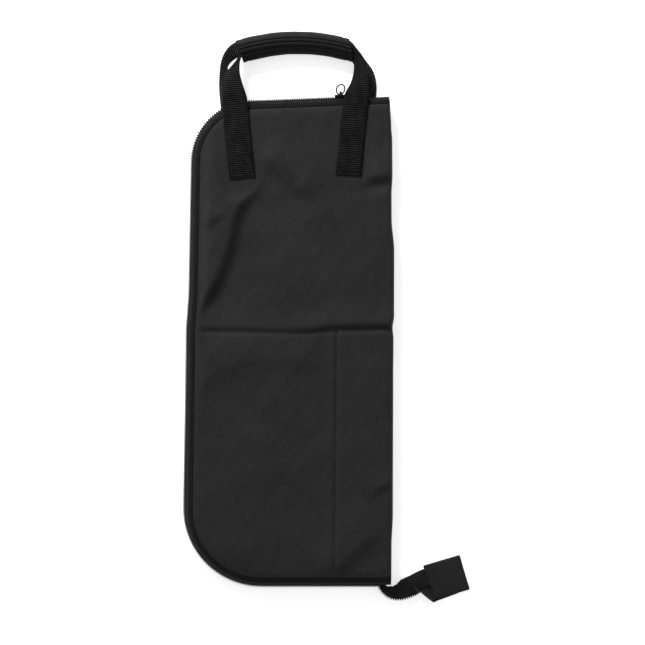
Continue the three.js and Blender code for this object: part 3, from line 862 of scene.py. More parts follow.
def front_face(points):
    """The front cover's outer face as if it were the back's: flat, but for its straps and edges."""
    inset = zip_inset(points)
    sag = 0.25 * wander(points[:, 1], 9.0, 5) * np.exp(-((inset / 5.0) ** 2))
    return rolled(inset) - strap_dip(points) * smooth(inset / 3.0) - np.abs(sag)


COVER_FACES = {"back": back_face, "front": front_face}


def edge_loop(inset, right_x, spacing=2.0):
    """The covers' outline, inset from its zipped edges and cut straight at right_x by the spine."""
    along = np.linspace(0, EDGE_LENGTH, int(EDGE_LENGTH / spacing) + 1)
    points, normals = edge_at(along)
    points = points - normals * inset
    points = points[points[:, 0] < right_x - spacing * 0.4]
    top_y = (top_edge(right_x) - top_normal * inset)[1]
    bottom_y = SHELL_BOTTOM_Y + inset
    count = int((top_y - bottom_y) / spacing)
    side = np.column_stack([np.full(count + 1, right_x), np.linspace(bottom_y, top_y, count + 1)])
    return np.vstack([side[-1:], points, side[:-1]])


# ---- camera, floor and light ---------------------------------------------------------------------------
CAMERA_CENTRE = (-4.15, -4.9)  # in the shared frame
CAMERA_SPAN = 619.5  # millimetres across the picture at the bag's upper face
CAMERA_LENS = 100.0
SENSOR = 36.0
KEY_PLACE = (-1.0, 2.15, 1.35)  # metres; low, so that folds show
KEY_SIZE = 0.9
KEY_POWER = 98.0
SKY_LIGHT = 0.45
TABLE_GLOW = 0.62  # the floor is a lit white table
FLOOR_REACH = 6.0  # metres


def studio():
    scene = bpy.context.scene
    camera_data = bpy.data.cameras.new("camera")
    camera_data.lens = CAMERA_LENS
    camera_data.sensor_width = SENSOR
    camera_data.clip_end = 100
    camera = bpy.data.objects.new("camera", camera_data)
    height = CAMERA_SPAN * CAMERA_LENS / SENSOR + BAG_THICKNESS
    camera.location = (CAMERA_CENTRE[0] * MM, CAMERA_CENTRE[1] * MM, height * MM)
    scene.collection.objects.link(camera)
    scene.camera = camera

    floor_data = bpy.data.meshes.new("floor")
    corners = [(x * FLOOR_REACH, y * FLOOR_REACH, 0) for x, y in ((-1, -1), (1, -1), (1, 1), (-1, 1))]
    floor_data.from_pydata(corners, [], [(0, 1, 2, 3)])
    floor = bpy.data.objects.new("floor", floor_data)
    floor.location.z = -0.0002
    floor_data.materials.append(floor_look())
    scene.collection.objects.link(floor)

    place = Vector(KEY_PLACE)
    light_data = bpy.data.lights.new("key", "AREA")
    light_data.shape = "SQUARE"
    light_data.size = KEY_SIZE
    light_data.energy = KEY_POWER
    light = bpy.data.objects.new("key", light_data)
    light.location = place
    light.rotation_euler = (-place).to_track_quat("-Z", "Y").to_euler()
    scene.collection.objects.link(light)

    world = bpy.data.worlds.new("studio_air")
    world.use_nodes = True
    background = world.node_tree.nodes["Background"]
    background.inputs["Color"].default_value = (1, 1, 1, 1)
    background.inputs["Strength"].default_value = SKY_LIGHT
    scene.world = world
    scene.view_settings.view_transform = "Standard"


studio()


def ride(piece, body, slot, *nodes):
    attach(piece, body)
    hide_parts(*nodes)
    return piece


# ---- covers --------------------------------------------------------------------------------------------
def seam_points(line, offsets):
    """Extra mesh points beside a sewn line, so that its groove keeps its shape."""
    path = resample(line, 2.0)
    along = tangents(path)
    across = np.stack([-along[:, 1], along[:, 0]], axis=1)
    return [path + across * offset for offset in offsets]


SHELL_RINGS = (0.9, 1.9, 3.1, 4.5, 6.2, 8.2)
SPINE_TURNS = np.radians(np.linspace(0, 90, 19)[1:])


def spine_half(side, edge_y):
    """Columns of points that carry a cover's face and its inner side round to the middle of the spine."""
    joint_x = SPINE_X - SPINE_SKIN_WIDTH
    turns = SPINE_TURNS
    down = np.cos(turns) ** SKIN_SQUARENESS
    outer = np.zeros((len(turns), len(edge_y), 3))
    outer[:, :, 0] = (joint_x + SPINE_SKIN_WIDTH * np.sin(turns) ** SKIN_SQUARENESS)[:, None]
    slope = (outer[:, :, 0] - joint_x) * top_along[1] / top_along[0]
    outer[:, :, 1] = edge_y + slope * smooth((edge_y - 150) / 50)
    reached = np.minimum(outer[:, :, 0], SPINE_X - 0.5)
    face = COVER_FACES[side](np.column_stack([reached.ravel(), outer[:, :, 1].ravel()]))
    rise = (face.reshape(reached.shape) - BAG_THICKNESS) * (down**1.5)[:, None]
    outer[:, :, 2] = MIDDLE_Z + (BAG_THICKNESS - MIDDLE_Z) * down[:, None] + rise
    normal = np.stack([np.sin(turns), np.zeros(len(turns)), np.cos(turns)], axis=1)
    thickness = SKIN_THICKNESS + (BAG_THICKNESS - SHELL_INNER_Z - SKIN_THICKNESS) * (1 - np.sin(turns)) ** 2
    inner = outer - normal[:, None, :] * thickness[:, None, None]
    inner[:, :, 2] -= np.maximum(rise, 0)
    return outer, inner


def spine_faces(edge, count, columns):
    """Faces from a shell's edge points round the spine, where the shell has count points on each side."""
    stations = len(edge)
    added = np.arange(columns * stations).reshape(columns, stations)
    top = np.vstack([edge, 2 * count + added]).tolist()
    low = np.vstack([edge + count, 2 * count + columns * stations + added]).tolist()
    faces = []
    for i in range(columns):
        for j in range(stations - 1):
            faces.append((top[i][j], top[i + 1][j], top[i + 1][j + 1], top[i][j + 1]))
            faces.append((low[i][j], low[i][j + 1], low[i + 1][j + 1], low[i + 1][j]))
        faces.append((top[i][0], low[i][0], low[i + 1][0], top[i + 1][0]))
        faces.append((top[i][-1], top[i + 1][-1], low[i + 1][-1], low[i][-1]))
    for j in range(stations - 1):
        faces.append((top[-1][j], low[-1][j], low[-1][j + 1], top[-1][j + 1]))
    return faces


def cover_shell(side):
    """A cover's outer fabric, which carries on round its half of the spine."""
    right_x = SPINE_X - SPINE_SKIN_WIDTH
    lines = []
    if side == "back":
        lines = seam_points(SEAM_LINE, (-1.3, 0.0, 1.3)) + seam_points(CREASE_LINE, (-2.0, 0.0, 2.0))
    flat, faces = mesh_inside(edge_loop(0.0, right_x), 2.2, SHELL_RINGS, lines)
    high = COVER_FACES[side](flat)
    low = np.where(zip_inset(flat) < 0.5, high - 1.4, np.minimum(SHELL_INNER_Z, high - 0.5))
    face = slab(Patch(), flat, faces, low, high)
    count = len(flat)

    # the wall along the spine side gives way to the fabric round the spine
    edge = np.flatnonzero(np.abs(flat[:, 0] - right_x) < 1e-3)
    edge = edge[np.argsort(flat[edge, 1])]
    on_edge = set(edge.tolist())
    kept = [quad for quad in face.faces if len(quad) != 4 or not all(i % count in on_edge for i in quad)]
    outer, inner = spine_half(side, flat[edge, 1])
    path = np.concatenate([np.column_stack([flat[edge], high[edge]])[None], outer])
    arc = right_x + np.cumsum(np.linalg.norm(np.diff(path, axis=0), axis=2), axis=0)
    round_spine = np.stack([arc, outer[:, :, 1], np.full(arc.shape, BAG_THICKNESS)], axis=-1).reshape(-1, 3)
    points = np.vstack([face.points[0], outer.reshape(-1, 3), inner.reshape(-1, 3)])
    cloth = np.vstack([face.cloth[0], round_spine, round_spine])
    patch = Patch().add(points, kept + spine_faces(edge, count, len(outer)), cloth)
    shell = patch.piece(f"{side}_cover_shell", shell_cloth, side=side)
    near, far = row([[right_x + 0.5, 0, BAG_THICKNESS - 0.5], [SPINE_X - 0.5, 0, MIDDLE_Z + 4.5]])
    if side == "back":
        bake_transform(shell)
    else:
        near[2] = BAG_THICKNESS * MM - near[2]
        far[2] = BAG_THICKNESS * MM - far[2]
        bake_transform(shell)
    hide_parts(f"{side}_shell", "spine_panel")


def inner_layer(side, name, z, material, slot, node, ripple=0.0):
    """A flat layer inside a cover, sewn in SEAM_INSET from the cover's edges."""
    right_x = SPINE_X - SEAM_INSET
    flat, faces = mesh_inside(edge_loop(SEAM_INSET, right_x, 3.0), 6.0, (1.0, 2.4))
    x, y = flat[:, 0], flat[:, 1]
    wave = ripple * (wander(x, 46.0, 4) + wander(y + x * 0.5, 70.0, 6))
    edge = np.minimum(zip_inset(flat) - SEAM_INSET, right_x - x)
    soft = 0.25 * (1 - smooth(edge / 2.4))
    low = z[0] + wave * smooth(edge / 12) + soft
    high = z[1] - soft * 0.6
    patch = slab(Patch(), flat, faces, np.minimum(low, high - 0.2), high)
    layer = patch.piece(name, material, side=side)
    return ride(layer, f"{side}_cover", slot, node)


def cover_inside(side):
    foam = inner_layer(side, f"{side}_foam_sheet", FOAM_Z, foam_cells, "foam", f"{side}_foam")
    name = f"{side}_lining_cloth"
    lining = inner_layer(side, name, LINING_Z, lining_cloth, "lining_fabric", f"{side}_lining", 0.16)
    pocket_panel(side)


for cover_side in ("front", "back"):
    cover_shell(cover_side)


# ---- pockets -------------------------------------------------------------------------------------------
def pocket_top(points, seams):
    """Height of the pocket cloth's face towards the lining; at its seams the cloth lies on the lining."""
    right = SPINE_X - SEAM_INSET - points[:, 0]
    gap = np.minimum(zip_inset(points) - SEAM_INSET, right)
    for seam in seams:
        gap = np.minimum(gap, np.abs(points[:, 0] - seam))
    fill = np.sin(np.clip((gap - 0.7) / 13.0, 0, 1) * math.pi / 2) ** 0.8
    mouth = 1 - 0.15 * smooth((POCKET_MOUTH_Y - points[:, 1]) / 60)
    sag = 0.22 * wander(points[:, 0] + points[:, 1] * 0.25, 37.0, 7)
    rise = 0.12 + (POCKET_DEPTH - 0.45 + sag) * fill * mouth
    return LINING_Z[0] - 0.05 - rise


def mouth_binding(side, seams, xs):
    """Binding folded over the edge of a pocket's mouth."""
    mouth = np.column_stack([xs, np.full(len(xs), POCKET_MOUTH_Y)])
    middle = pocket_top(mouth, seams) - POCKET_FABRIC / 2
    half = POCKET_FABRIC / 2 + 0.45
    turns = np.linspace(-math.pi / 2, math.pi / 2, 7)
    section = [(math.cos(turn) * 1.1 + 0.1, math.sin(turn) * half) for turn in turns]
    section += [(y, half) for y in (-3.0, -6.0, -8.6)]
    section += [(-9.0, half - 0.3), (-9.0, -half + 0.3)]
    section += [(y, -half) for y in (-8.6, -6.0, -3.0)]
    section = np.array(section)
    rings = np.zeros((len(xs), len(section), 3))
    rings[:, :, 0] = xs[:, None]
    rings[:, :, 1] = POCKET_MOUTH_Y + section[:, 0]
    rings[:, :, 2] = middle[:, None] + section[:, 1]
    patch = swept(Patch(), rings)
    line = np.column_stack([xs, np.full(len(xs), POCKET_MOUTH_Y - 7.6), middle - half])
    stitch_run(patch, line, (0, 0, -1))
    binding = patch.piece(f"{side}_mouth_tape", binding_cloth, sewing_thread, side=side)
    ride(binding, f"{side}_cover", "binding_tape", f"{side}_pocket_binding")


def pocket_outline(right_x):
    """The pocket's outline, cut straight at its mouth, and the x of the mouth's left end."""
    loop = edge_loop(SEAM_INSET + 0.4, right_x, 2.5)
    below = loop[loop[:, 1] < POCKET_MOUTH_Y - 1.0]
    left_side = below[below[:, 0] < 0]
    left = left_side[np.argmax(left_side[:, 1]), 0]
    mouth_x = np.arange(right_x, left, -2.5)[1:]
    mouth = np.column_stack([mouth_x, np.full(len(mouth_x), POCKET_MOUTH_Y)])
    zipped = below[below[:, 0] < right_x - 0.1]
    spine = below[below[:, 0] >= right_x - 0.1]
    spine = spine[np.argsort(spine[:, 1])]
    ends = [(right_x, POCKET_MOUTH_Y)], [(left, POCKET_MOUTH_Y)]
    return np.vstack([spine, ends[0], mouth, ends[1], zipped]), left


def pocket_panel(side):
    """A pocket's cloth, stitched down along its dividers, with its binding."""
    seams = POCKET_SEAMS[side]
    right_x = SPINE_X - SEAM_INSET - 0.4
    outline, left = pocket_outline(right_x)
    seam_ys = np.linspace(-251, POCKET_MOUTH_Y - 1.5, 95)
    offsets = (-2.2, -0.8, 0.8, 2.2)
    lines = [np.column_stack([np.full(95, seam + beside), seam_ys]) for seam in seams for beside in offsets]
    flat, faces = mesh_inside(outline, 4.0, (0.8, 2.0, 4.0, 7.0), lines)
    high = pocket_top(flat, seams)
    patch = slab(Patch(), flat, faces, high - POCKET_FABRIC, high)
    stitch_ys = np.linspace(POCKET_MOUTH_Y - 2, -248.0, 60)
    for seam in seams:
        for beside in (-0.45, 0.45):
            line = np.column_stack([np.full(60, seam + beside), stitch_ys])
            z = pocket_top(line, seams) - POCKET_FABRIC
            stitch_run(patch, np.column_stack([line, z]), (0, 0, -1))
    panel = patch.piece(f"{side}_pocket_cloth", pocket_cloth, sewing_thread, side=side)
    ride(panel, f"{side}_cover", "pocket_fabric", f"{side}_pocket_panel")
    mouth_binding(side, seams, np.arange(left + 1.5, right_x - 1.0, 1.5))


for cover_side in ("front", "back"):
    cover_inside(cover_side)


# ---- spine ---------------------------------------------------------------------------------------------
def sheet_solid(upper, lower, turned=False):
    """A thin solid between two equal grids of points; turned where columns then rows run clockwise."""
    rows, columns = upper.shape[:2]
    count = rows * columns
    faces = grid_faces(rows, columns)
    rim = (
        [i * columns for i in range(rows)]
        + [(rows - 1) * columns + j for j in range(1, columns)]
        + [i * columns + columns - 1 for i in range(rows - 2, -1, -1)]
        + [j for j in range(columns - 2, 0, -1)]
    )
    faces += [tuple(i + count for i in reversed(face)) for face in faces]
    faces += [(b + count, a + count, a, b) for a, b in zip(rim, rim[1:] + rim[:1])]
    if turned:
        faces = flipped(faces)
    return Patch().add(np.vstack([upper.reshape(-1, 3), lower.reshape(-1, 3)]), faces)


def spine_inside():
    """The spine's own lining, a soft strip inside the fold."""
    ys = np.linspace(SHELL_BOTTOM_Y + 5, top_edge(SPINE_X)[1] - 3, 160)
    zs = np.linspace(*SPINE_LINING_Z, 12)
    bow = np.sin((zs - zs[0]) / (zs[-1] - zs[0]) * math.pi)
    outer = np.zeros((len(zs), len(ys), 3))
    outer[:, :, 0] = SPINE_LINING_X + 0.5 * bow[:, None] + 0.15 * wander(ys, 33.0, 9)
    outer[:, :, 1] = ys
    outer[:, :, 2] = zs[:, None]
    inner = outer - (SPINE_LINING_THICKNESS, 0, 0)
    lining = sheet_solid(outer, inner).piece("spine_lining_cloth", lining_cloth)
    ride(lining, "spine", "lining_fabric", "spine_lining")


spine_inside()


# ---- zip round three sides -----------------------------------------------------------------------------
ZIP_START = edge_length_at_top(SPINE_X - 0.3)
ZIP_END = EDGE_LENGTH - 0.3
COIL_START = edge_length_at_top(SLIDER_X + 4)
COIL_END = ZIP_END - 9.0  # where the tail leaves the bag and takes the coil with it

COIL_CENTRE = (8.15, 13.0)
COIL_TILT = math.radians(-32)
COIL_HALF_WIDTH = 2.15
COIL_HALF_HEIGHT = 0.95
COIL_CORD = 0.62

# (distance outside the shell's edge, height)
ZIP_STITCHES = ((5.0, 18.65), (1.4, 20.3))
BINDING_STITCH = (-1.9, 15.6)
TAPE_SECTION = (
    (-2.5, 19.45),
    (-0.8, 19.9),
    (0.6, 20.35),
    (2.4, 20.15),
    (4.2, 19.4),
    (5.2, 18.4),
    (5.9, 17.0),
    (6.8, 15.3),
    (7.7, 14.0),
    (7.1, 13.6),
    (6.2, 14.8),
    (5.3, 16.5),
    (4.6, 17.7),
    (2.6, 19.0),
    (0.2, 19.2),
    (-2.5, 18.6),
)
BINDING_SECTION = (
    (-2.7, 18.4),
    (-1.6, 18.5),
    (-0.7, 18.2),
    (-0.2, 17.5),
    (-0.1, 16.6),
    (-0.4, 15.9),
    (-1.2, 15.6),
    (-2.7, 15.7),
    (-2.9, 16.6),
    (-2.9, 17.6),
)


def edge_rings(along, section, wave):
    """Rings of a section along the zipped edge, moved out and up by the wave, and their cloth coordinates."""
    points, normals = edge_at(along)
    section = np.array(section)
    outward = section[:, 0] + wave[0]
    rings = np.zeros((len(along), len(section), 3))
    rings[:, :, :2] = points[:, None] + normals[:, None] * outward[:, :, None]
    rings[:, :, 2] = section[:, 1] + wave[1]
    return rings, cloth_on(rings, along, lengths_along(section))


def leaning(normals, outward, up):
    """Directions with these amounts along the edge's outward directions and up."""
    return np.column_stack([normals * outward, np.full(len(normals), up)])


def beside_edge(along, outward, z):
    """A line this far outside the shell's edge, at one height."""
    points, normals = edge_at(along)
    return np.column_stack([points + normals * outward, np.full(len(along), z)])


def zip_tape(side):
    along = np.linspace(ZIP_START, ZIP_END, int((ZIP_END - ZIP_START) / 1.6))
    free = np.clip(np.array(TAPE_SECTION)[:, 0] / 5, 0, 1)
    wave = (0.22 * wander(along, 17.0, 11)[:, None] * free, 0.28 * wander(along, 13.0, 12)[:, None] * free)
    rings, cloth = edge_rings(along, TAPE_SECTION, wave)
    patch = swept(Patch(), rings, cloth=cloth)
    slope = leaning(edge_at(along)[1], 0.75, 0.66)
    for outward, z in ZIP_STITCHES:
        stitch_run(patch, beside_edge(along, outward, z), slope, pitch=2.9, length=2.2)
    tape = patch.piece(f"{side}_zip_tape_cloth", zip_cloth, zip_thread, side=side)
    ride(tape, f"{side}_cover", "zip_tape", f"{side}_zip_tape")


def coil_rings(base, outward, up, length):
    """A flattened helix of wire about a line."""
    steps = np.linspace(0, length, int(length / COIL_PITCH * 10))
    where = np.linspace(0, length, len(base))

    def at_steps(rows):
        return np.stack([np.interp(steps, where, column) for column in rows.T], axis=1)

    angle = steps / COIL_PITCH * 2 * math.pi
    wide = unit(at_steps(outward)) * (np.cos(angle) * COIL_HALF_WIDTH)[:, None]
    tall = unit(at_steps(up)) * (np.sin(angle) * COIL_HALF_HEIGHT)[:, None]
    return rounded_tube(at_steps(base) + wide + tall, COIL_WIRE, 5)


def zip_coil(side):
    along = np.arange(COIL_START, COIL_END, 1.0)
    base = beside_edge(along, *COIL_CENTRE)
    normals = edge_at(along)[1]
    outward = leaning(normals, math.cos(COIL_TILT), math.sin(COIL_TILT))
    up = leaning(normals, -math.sin(COIL_TILT), math.cos(COIL_TILT))
    patch = swept(Patch(), coil_rings(base, outward, up, along[-1] - along[0]))
    swept(patch, rounded_tube(base[::2], COIL_CORD, 8), look=THREAD_LOOK)
    coil = patch.piece(f"{side}_zip_teeth", coil_nylon, sewing_thread, side=side)
    ride(coil, f"{side}_cover", "zip_coil", f"{side}_zip_coil")


def edge_binding(side):
    along = np.arange(edge_length_at_top(SPINE_X - SEAM_INSET), ZIP_END - SEAM_INSET, 2.0)
    wave = (0.1 * wander(along, 21.0, 13)[:, None], 0.12 * wander(along, 15.0, 14)[:, None])
    rings, cloth = edge_rings(along, BINDING_SECTION, wave)
    patch = swept(Patch(), rings, cloth=cloth)
    stitch_run(patch, beside_edge(along, *BINDING_STITCH), (0, 0, -1))
    binding = patch.piece(f"{side}_binding_tape", binding_cloth, sewing_thread, side=side)
    ride(binding, f"{side}_cover", "binding_tape", f"{side}_edge_binding")


for cover_side in ("front", "back"):
    zip_tape(cover_side)
    zip_coil(cover_side)
    edge_binding(cover_side)


# ---- slider and ring -----------------------------------------------------------------------------------
def slider():
    """The CAD's slider, enamelled, with its edges rounded."""
    for name in ("slider_body", "slider_crown"):
        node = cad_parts[name]
        node.data.materials.clear()
        node.data.materials.append(slider_enamel)
        bevel = node.modifiers.new("rounded_edges", "BEVEL")
        bevel.width = 0.28 * MM
        bevel.segments = 3
        bevel.limit_method = "ANGLE"
        node.data.shade_smooth()


def wire_ring():
    """The oval ring that hangs in the slider's crown and leans towards the spine."""
    middle = top_edge(SLIDER_X) + top_normal * (ZIP_BAND + RING_GAP + RING_RADIUS)
    angles = np.linspace(0, 2 * math.pi, 97)[:-1, None]
    across = math.cos(RING_LEAN) * top_along - math.sin(RING_LEAN) * top_normal
    upright = math.sin(RING_LEAN) * top_along + math.cos(RING_LEAN) * top_normal
    oval = np.cos(angles) * across * RING_HALF_AXES[0] + np.sin(angles) * upright * RING_HALF_AXES[1]
    oval = np.column_stack([oval, np.zeros(len(oval))])
    section = np.linspace(0, 2 * math.pi, 17)[:-1, None]
    outward = unit(oval)[:, None] * np.cos(section)
    rings = np.array([*middle, MIDDLE_Z]) + oval[:, None] + outward * RING_WIRE
    rings[:, :, 2] += np.sin(section)[:, 0] * RING_WIRE
    total = len(angles) * len(section)
    faces = [tuple(i % total for i in face) for face in grid_faces(len(angles) + 1, len(section), wrap=True)]
    patch = Patch().add(rings.reshape(-1, 3), flipped(faces) if turned_in(rings) else faces)
    ring = patch.piece("wire_ring", ring_nickel, strays=False)
    ride(ring, "pull_ring", "ring_wire", "pull_ring")


slider()
wire_ring()


# ---- webbing handles -----------------------------------------------------------------------------------
# each row is the outer and the inner edge of the webbing, as points
BACK_LEFT_LEG = (
    ((-93.0, 132.1, 23.0), (-68.2, 134.6, 23.0)),
    ((-96.5, 165.0, 23.0), (-71.8, 167.6, 23.0)),
    ((-99.2, 196.0, 23.0), (-74.6, 198.4, 23.0)),
    ((-99.8, 206.0, 23.0), (-75.6, 208.6, 23.0)),
    ((-99.2, 214.0, 22.9), (-77.8, 215.8, 22.9)),
    ((-98.9, 224.5, 20.8), (-81.2, 225.4, 22.0)),
    ((-98.0, 233.0, 16.5), (-83.2, 233.2, 20.6)),
    ((-93.6, 239.3, 11.0), (-83.9, 239.5, 19.0)),
    ((-88.3, 245.2, 7.6), (-83.9, 245.4, 18.0)),
    ((-84.6, 250.0, 6.6), (-82.8, 250.8, 16.6)),
    ((-80.5, 258.0, 8.2), (-78.5, 254.5, 14.0)),
)
FRONT_LEFT_LEG = (
    ((-93.0, 132.1, 0.75), (-68.2, 134.6, 0.75)),
    ((-96.5, 165.0, 0.75), (-71.8, 167.6, 0.75)),
    ((-101.0, 192.0, 0.75), (-76.4, 196.0, 0.75)),
    ((-102.6, 203.0, 0.75), (-79.0, 207.0, 0.75)),
    ((-103.9, 214.7, 0.9), (-82.0, 218.0, 0.8)),
    ((-104.3, 226.0, 3.0), (-87.0, 227.0, 0.8)),
    ((-103.2, 236.5, 7.0), (-94.0, 235.5, 1.0)),
    ((-101.9, 245.0, 10.6), (-96.6, 241.0, 1.6)),
    ((-99.5, 252.4, 12.6), (-94.6, 244.9, 3.0)),
    ((-95.9, 258.4, 12.6), (-90.8, 248.0, 4.6)),
    ((-91.4, 263.0, 11.4), (-86.6, 250.6, 6.0)),
    ((-87.2, 266.0, 9.6), (-82.8, 253.0, 7.4)),
)
BACK_RIGHT_LEG = (
    ((23.0, 264.5, 12.0), (19.0, 252.6, 10.6)),
    ((28.6, 259.6, 14.0), (25.4, 248.6, 10.8)),
    ((34.4, 251.6, 17.0), (27.2, 243.6, 12.4)),
    ((39.4, 243.6, 20.0), (26.8, 237.0, 15.0)),
    ((41.4, 233.0, 22.0), (25.6, 230.0, 18.4)),
    ((41.2, 223.0, 22.8), (22.6, 222.0, 21.6)),
    ((40.9, 213.0, 22.95), (17.6, 214.6, 22.95)),
    ((40.1, 203.0, 23.0), (16.4, 205.0, 23.0)),
    ((37.2, 175.0, 23.0), (13.2, 177.0, 23.0)),
    ((33.4, 134.9, 23.0), (8.8, 136.6, 23.0)),
)
FRONT_RIGHT_LEG = (
    ((22.6, 268.0, 8.0), (18.0, 252.4, 7.0)),
    ((26.9, 263.2, 9.0), (23.0, 249.6, 6.6)),
    ((34.0, 252.4, 10.0), (27.6, 243.4, 5.0)),
    ((39.9, 245.0, 9.4), (30.6, 237.0, 2.4)),
    ((45.0, 239.0, 7.4), (32.0, 230.6, 1.2)),
    ((48.0, 231.7, 4.4), (30.8, 224.0, 0.9)),
    ((49.2, 222.4, 1.8), (27.4, 215.0, 0.8)),
    ((48.4, 211.0, 0.8), (24.4, 205.4, 0.75)),
    ((43.9, 194.0, 0.75), (19.6, 192.6, 0.75)),
    ((39.0, 172.0, 0.75), (14.6, 174.0, 0.75)),
    ((36.0, 155.0, 0.75), (11.2, 157.4, 0.75)),
    ((33.4, 134.9, 0.75), (8.8, 137.4, 0.75)),
)
STRAP_LEGS = {"back": (BACK_LEFT_LEG, BACK_RIGHT_LEG), "front": (FRONT_LEFT_LEG, FRONT_RIGHT_LEG)}
GRIP_HALF_WIDTH = 5.9
GRIP_STATIONS = (102, 98, 94, 90, 86, 82, 78.5)  # degrees about the grip's centre
STITCH_BOX = ((-9.5, 3.5), (9.5, 21.5))  # two corners, across and along the strap from its foot


def on_grip(angle, outward, z):
    """Points beside the grip's arc, at these angles in radians, distances outward from it and heights."""
    radius = GRIP_RADIUS + outward
    x = GRIP_CENTRE[0] + radius * np.cos(angle)
    y = GRIP_CENTRE[1] + radius * np.sin(angle)
    return np.stack(np.broadcast_arrays(x, y, z), axis=-1)


def strap_edges(left_leg, right_leg, grip_z):
    """Both edges of a handle's webbing, from its left foot over the grip to its right foot."""
    angles = np.radians(GRIP_STATIONS)
    edges = []
    for edge, outward in enumerate((GRIP_HALF_WIDTH, -GRIP_HALF_WIDTH)):
        left, right = (np.array([pair[edge] for pair in leg]) for leg in (left_leg, right_leg))
        edges.append(np.vstack([left, on_grip(angles, outward, grip_z), right]))
    outer, inner = edges
    rows = resample(np.hstack([(outer + inner) / 2, outer, inner]), RIB_PITCH / 6, 7.0)
    return rows[:, 3:6], rows[:, 6:9]


def strap_rings(outer, inner):
    """Rings of ribbed webbing between two edges, with raised ribs across it and thinner selvedges."""
    middle = (outer + inner) / 2
    across = inner - outer
    width = np.linalg.norm(across, axis=1)
    across = unit(across)
    face = unit(np.cross(across, tangents(middle)))
    if face[len(face) // 2, 2] < 0:
        face = -face
    lengths = lengths_along(middle)
    folded = 1 - smooth((width - 11) / 12)
    thickness = WEBBING_THICKNESS * (1 + 0.95 * folded)
    u = np.linspace(-1, 1, 15)
    selvedge = 1 - 0.45 * np.abs(u) ** 8
    rib = np.abs(np.cos(lengths / RIB_PITCH * math.pi)) ** 0.7
    half = (thickness / 2 - RIB_HEIGHT * (1 - rib))[:, None] * selvedge
    camber = 0.35 * folded[:, None] * (1 - u**2)
    positions = middle[:, None] + across[:, None] * (u * width[:, None] / 2)[:, :, None]
    upper = positions + face[:, None] * (half + camber)[:, :, None]
    lower = positions - face[:, None] * half[:, :, None]
    rings = np.concatenate([upper, lower[:, ::-1]], axis=1)
    both = np.concatenate([u, u[::-1]])
    return rings, cloth_on(rings, lengths, both * WEBBING_WIDTH / 2)


def box_stitch(across, along, z, direction):
    """A sewn rectangle with a cross in it; across and along are the strap's own directions at its foot."""
    patch = Patch()
    (x0, y0), (x1, y1) = STITCH_BOX
    corners = ((x0, y0), (x1, y0), (x1, y1), (x0, y1), (x0, y0), (x1, y1), (x1, y0), (x0, y1))
    for i in (0, 1, 2, 3, 4, 6):
        line = [along * p[1] + across * p[0] for p in corners[i : i + 2]]
        stitch_run(patch, np.column_stack([line, [z, z]]), (0, 0, direction), 2.8, 2.1, 0.42)
    return patch


def handle_strap(side):
    """One handle's webbing from foot to foot, with the stitches that hold it to its cover."""
    left_leg, right_leg = STRAP_LEGS[side]
    face = 1 if side == "back" else -1
    outer, inner = strap_edges(left_leg, right_leg, GRIP_Z + 1.6 * face)
    rings, cloth = strap_rings(outer, inner)
    patch = swept(Patch(), rings, cloth=cloth)
    for foot, ahead in ((left_leg[0], left_leg[1]), (right_leg[-1], right_leg[-2])):
        middle = np.mean(foot, axis=0)
        along = unit((np.mean(ahead, axis=0) - middle)[:2])
        across = np.array([along[1], -along[0]])
        z = middle[2] + face * (WEBBING_THICKNESS / 2 + 0.12)
        runs = box_stitch(across, along, z, face)
        moved = np.vstack(runs.points) + np.array([middle[0], middle[1], 0])
        patch.add(moved, runs.faces, look=THREAD_LOOK)
    # the front handle wears the copy of the webbing that is painted lighter as painted light
    webbing = back_webbing if side == "back" else front_webbing_painted_light
    strap = patch.piece(f"{side}_handle_strap", webbing, sewing_thread, strays=False)
    start, end = row([[0, HANDLE_HINGE_Y - 3.0, 0], [0, HANDLE_HINGE_Y + 4.0, 0]], strays=False)
    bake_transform(strap)
    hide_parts(f"{side}_handle_webbing", f"{side}_strap_left_end", f"{side}_strap_right_end")


for cover_side in ("front", "back"):
    handle_strap(cover_side)


# ---- padded wrap ---------------------------------------------------------------------------------------
# in the wrap's section, 0 degrees is away from the bag and 90 is up
HINGE_HALF = 20.0  # degrees of fabric each way from the flap's fold
FLAP_END = 212.0
BASE_START = 183.0
FLAP_CHANNELS = (76.0, 101.0, 128.0)  # sewn lines
FLAP_HEM = 206.0
BASE_CHANNELS = (232.0, 270.0, 308.0)
HEM_SHARE = 0.55  # of the full thickness, at the wrap's cut edges
PAD_OUTER = 9.25
PAD_THICKNESS = 2.1
LAP_RISE = 1.75
LAP_THICKNESS = 0.5
STRIP_SPAN = (186, 211)
# (inner radius, thickness)
PADDING_WALL = (6.75, 0.4)
LOOP_WALL = (9.25, 0.5)
HOOK_WALL = (10.0, 0.5)


def lap_rise(degrees):
    """How far the flap stands out where it passes over the base."""
    return LAP_RISE * smooth((degrees - 132) / 46) * (degrees < FLAP_END + 1)


def wrap_sag(degrees, share):
    """How far the wrap hangs towards the bag, most at its left end."""
    towards_bag = np.clip(-np.cos(np.radians(degrees)), 0, 1) ** 2
    return (0.6 + 1.7 * (1 - share) ** 2) * towards_bag


def wrap_radius(degrees):
    """Outer radius of the wrap round its section: padded ribs between sewn lines, and the flap's lap."""
    radius = PAD_OUTER + lap_rise(degrees)
    for channel in FLAP_CHANNELS + BASE_CHANNELS:
        radius = radius - 0.95 * np.exp(-(((degrees - channel) / 4.2) ** 2))
    return radius + 0.35 * np.cos(np.radians(degrees) * 2 + 0.4)


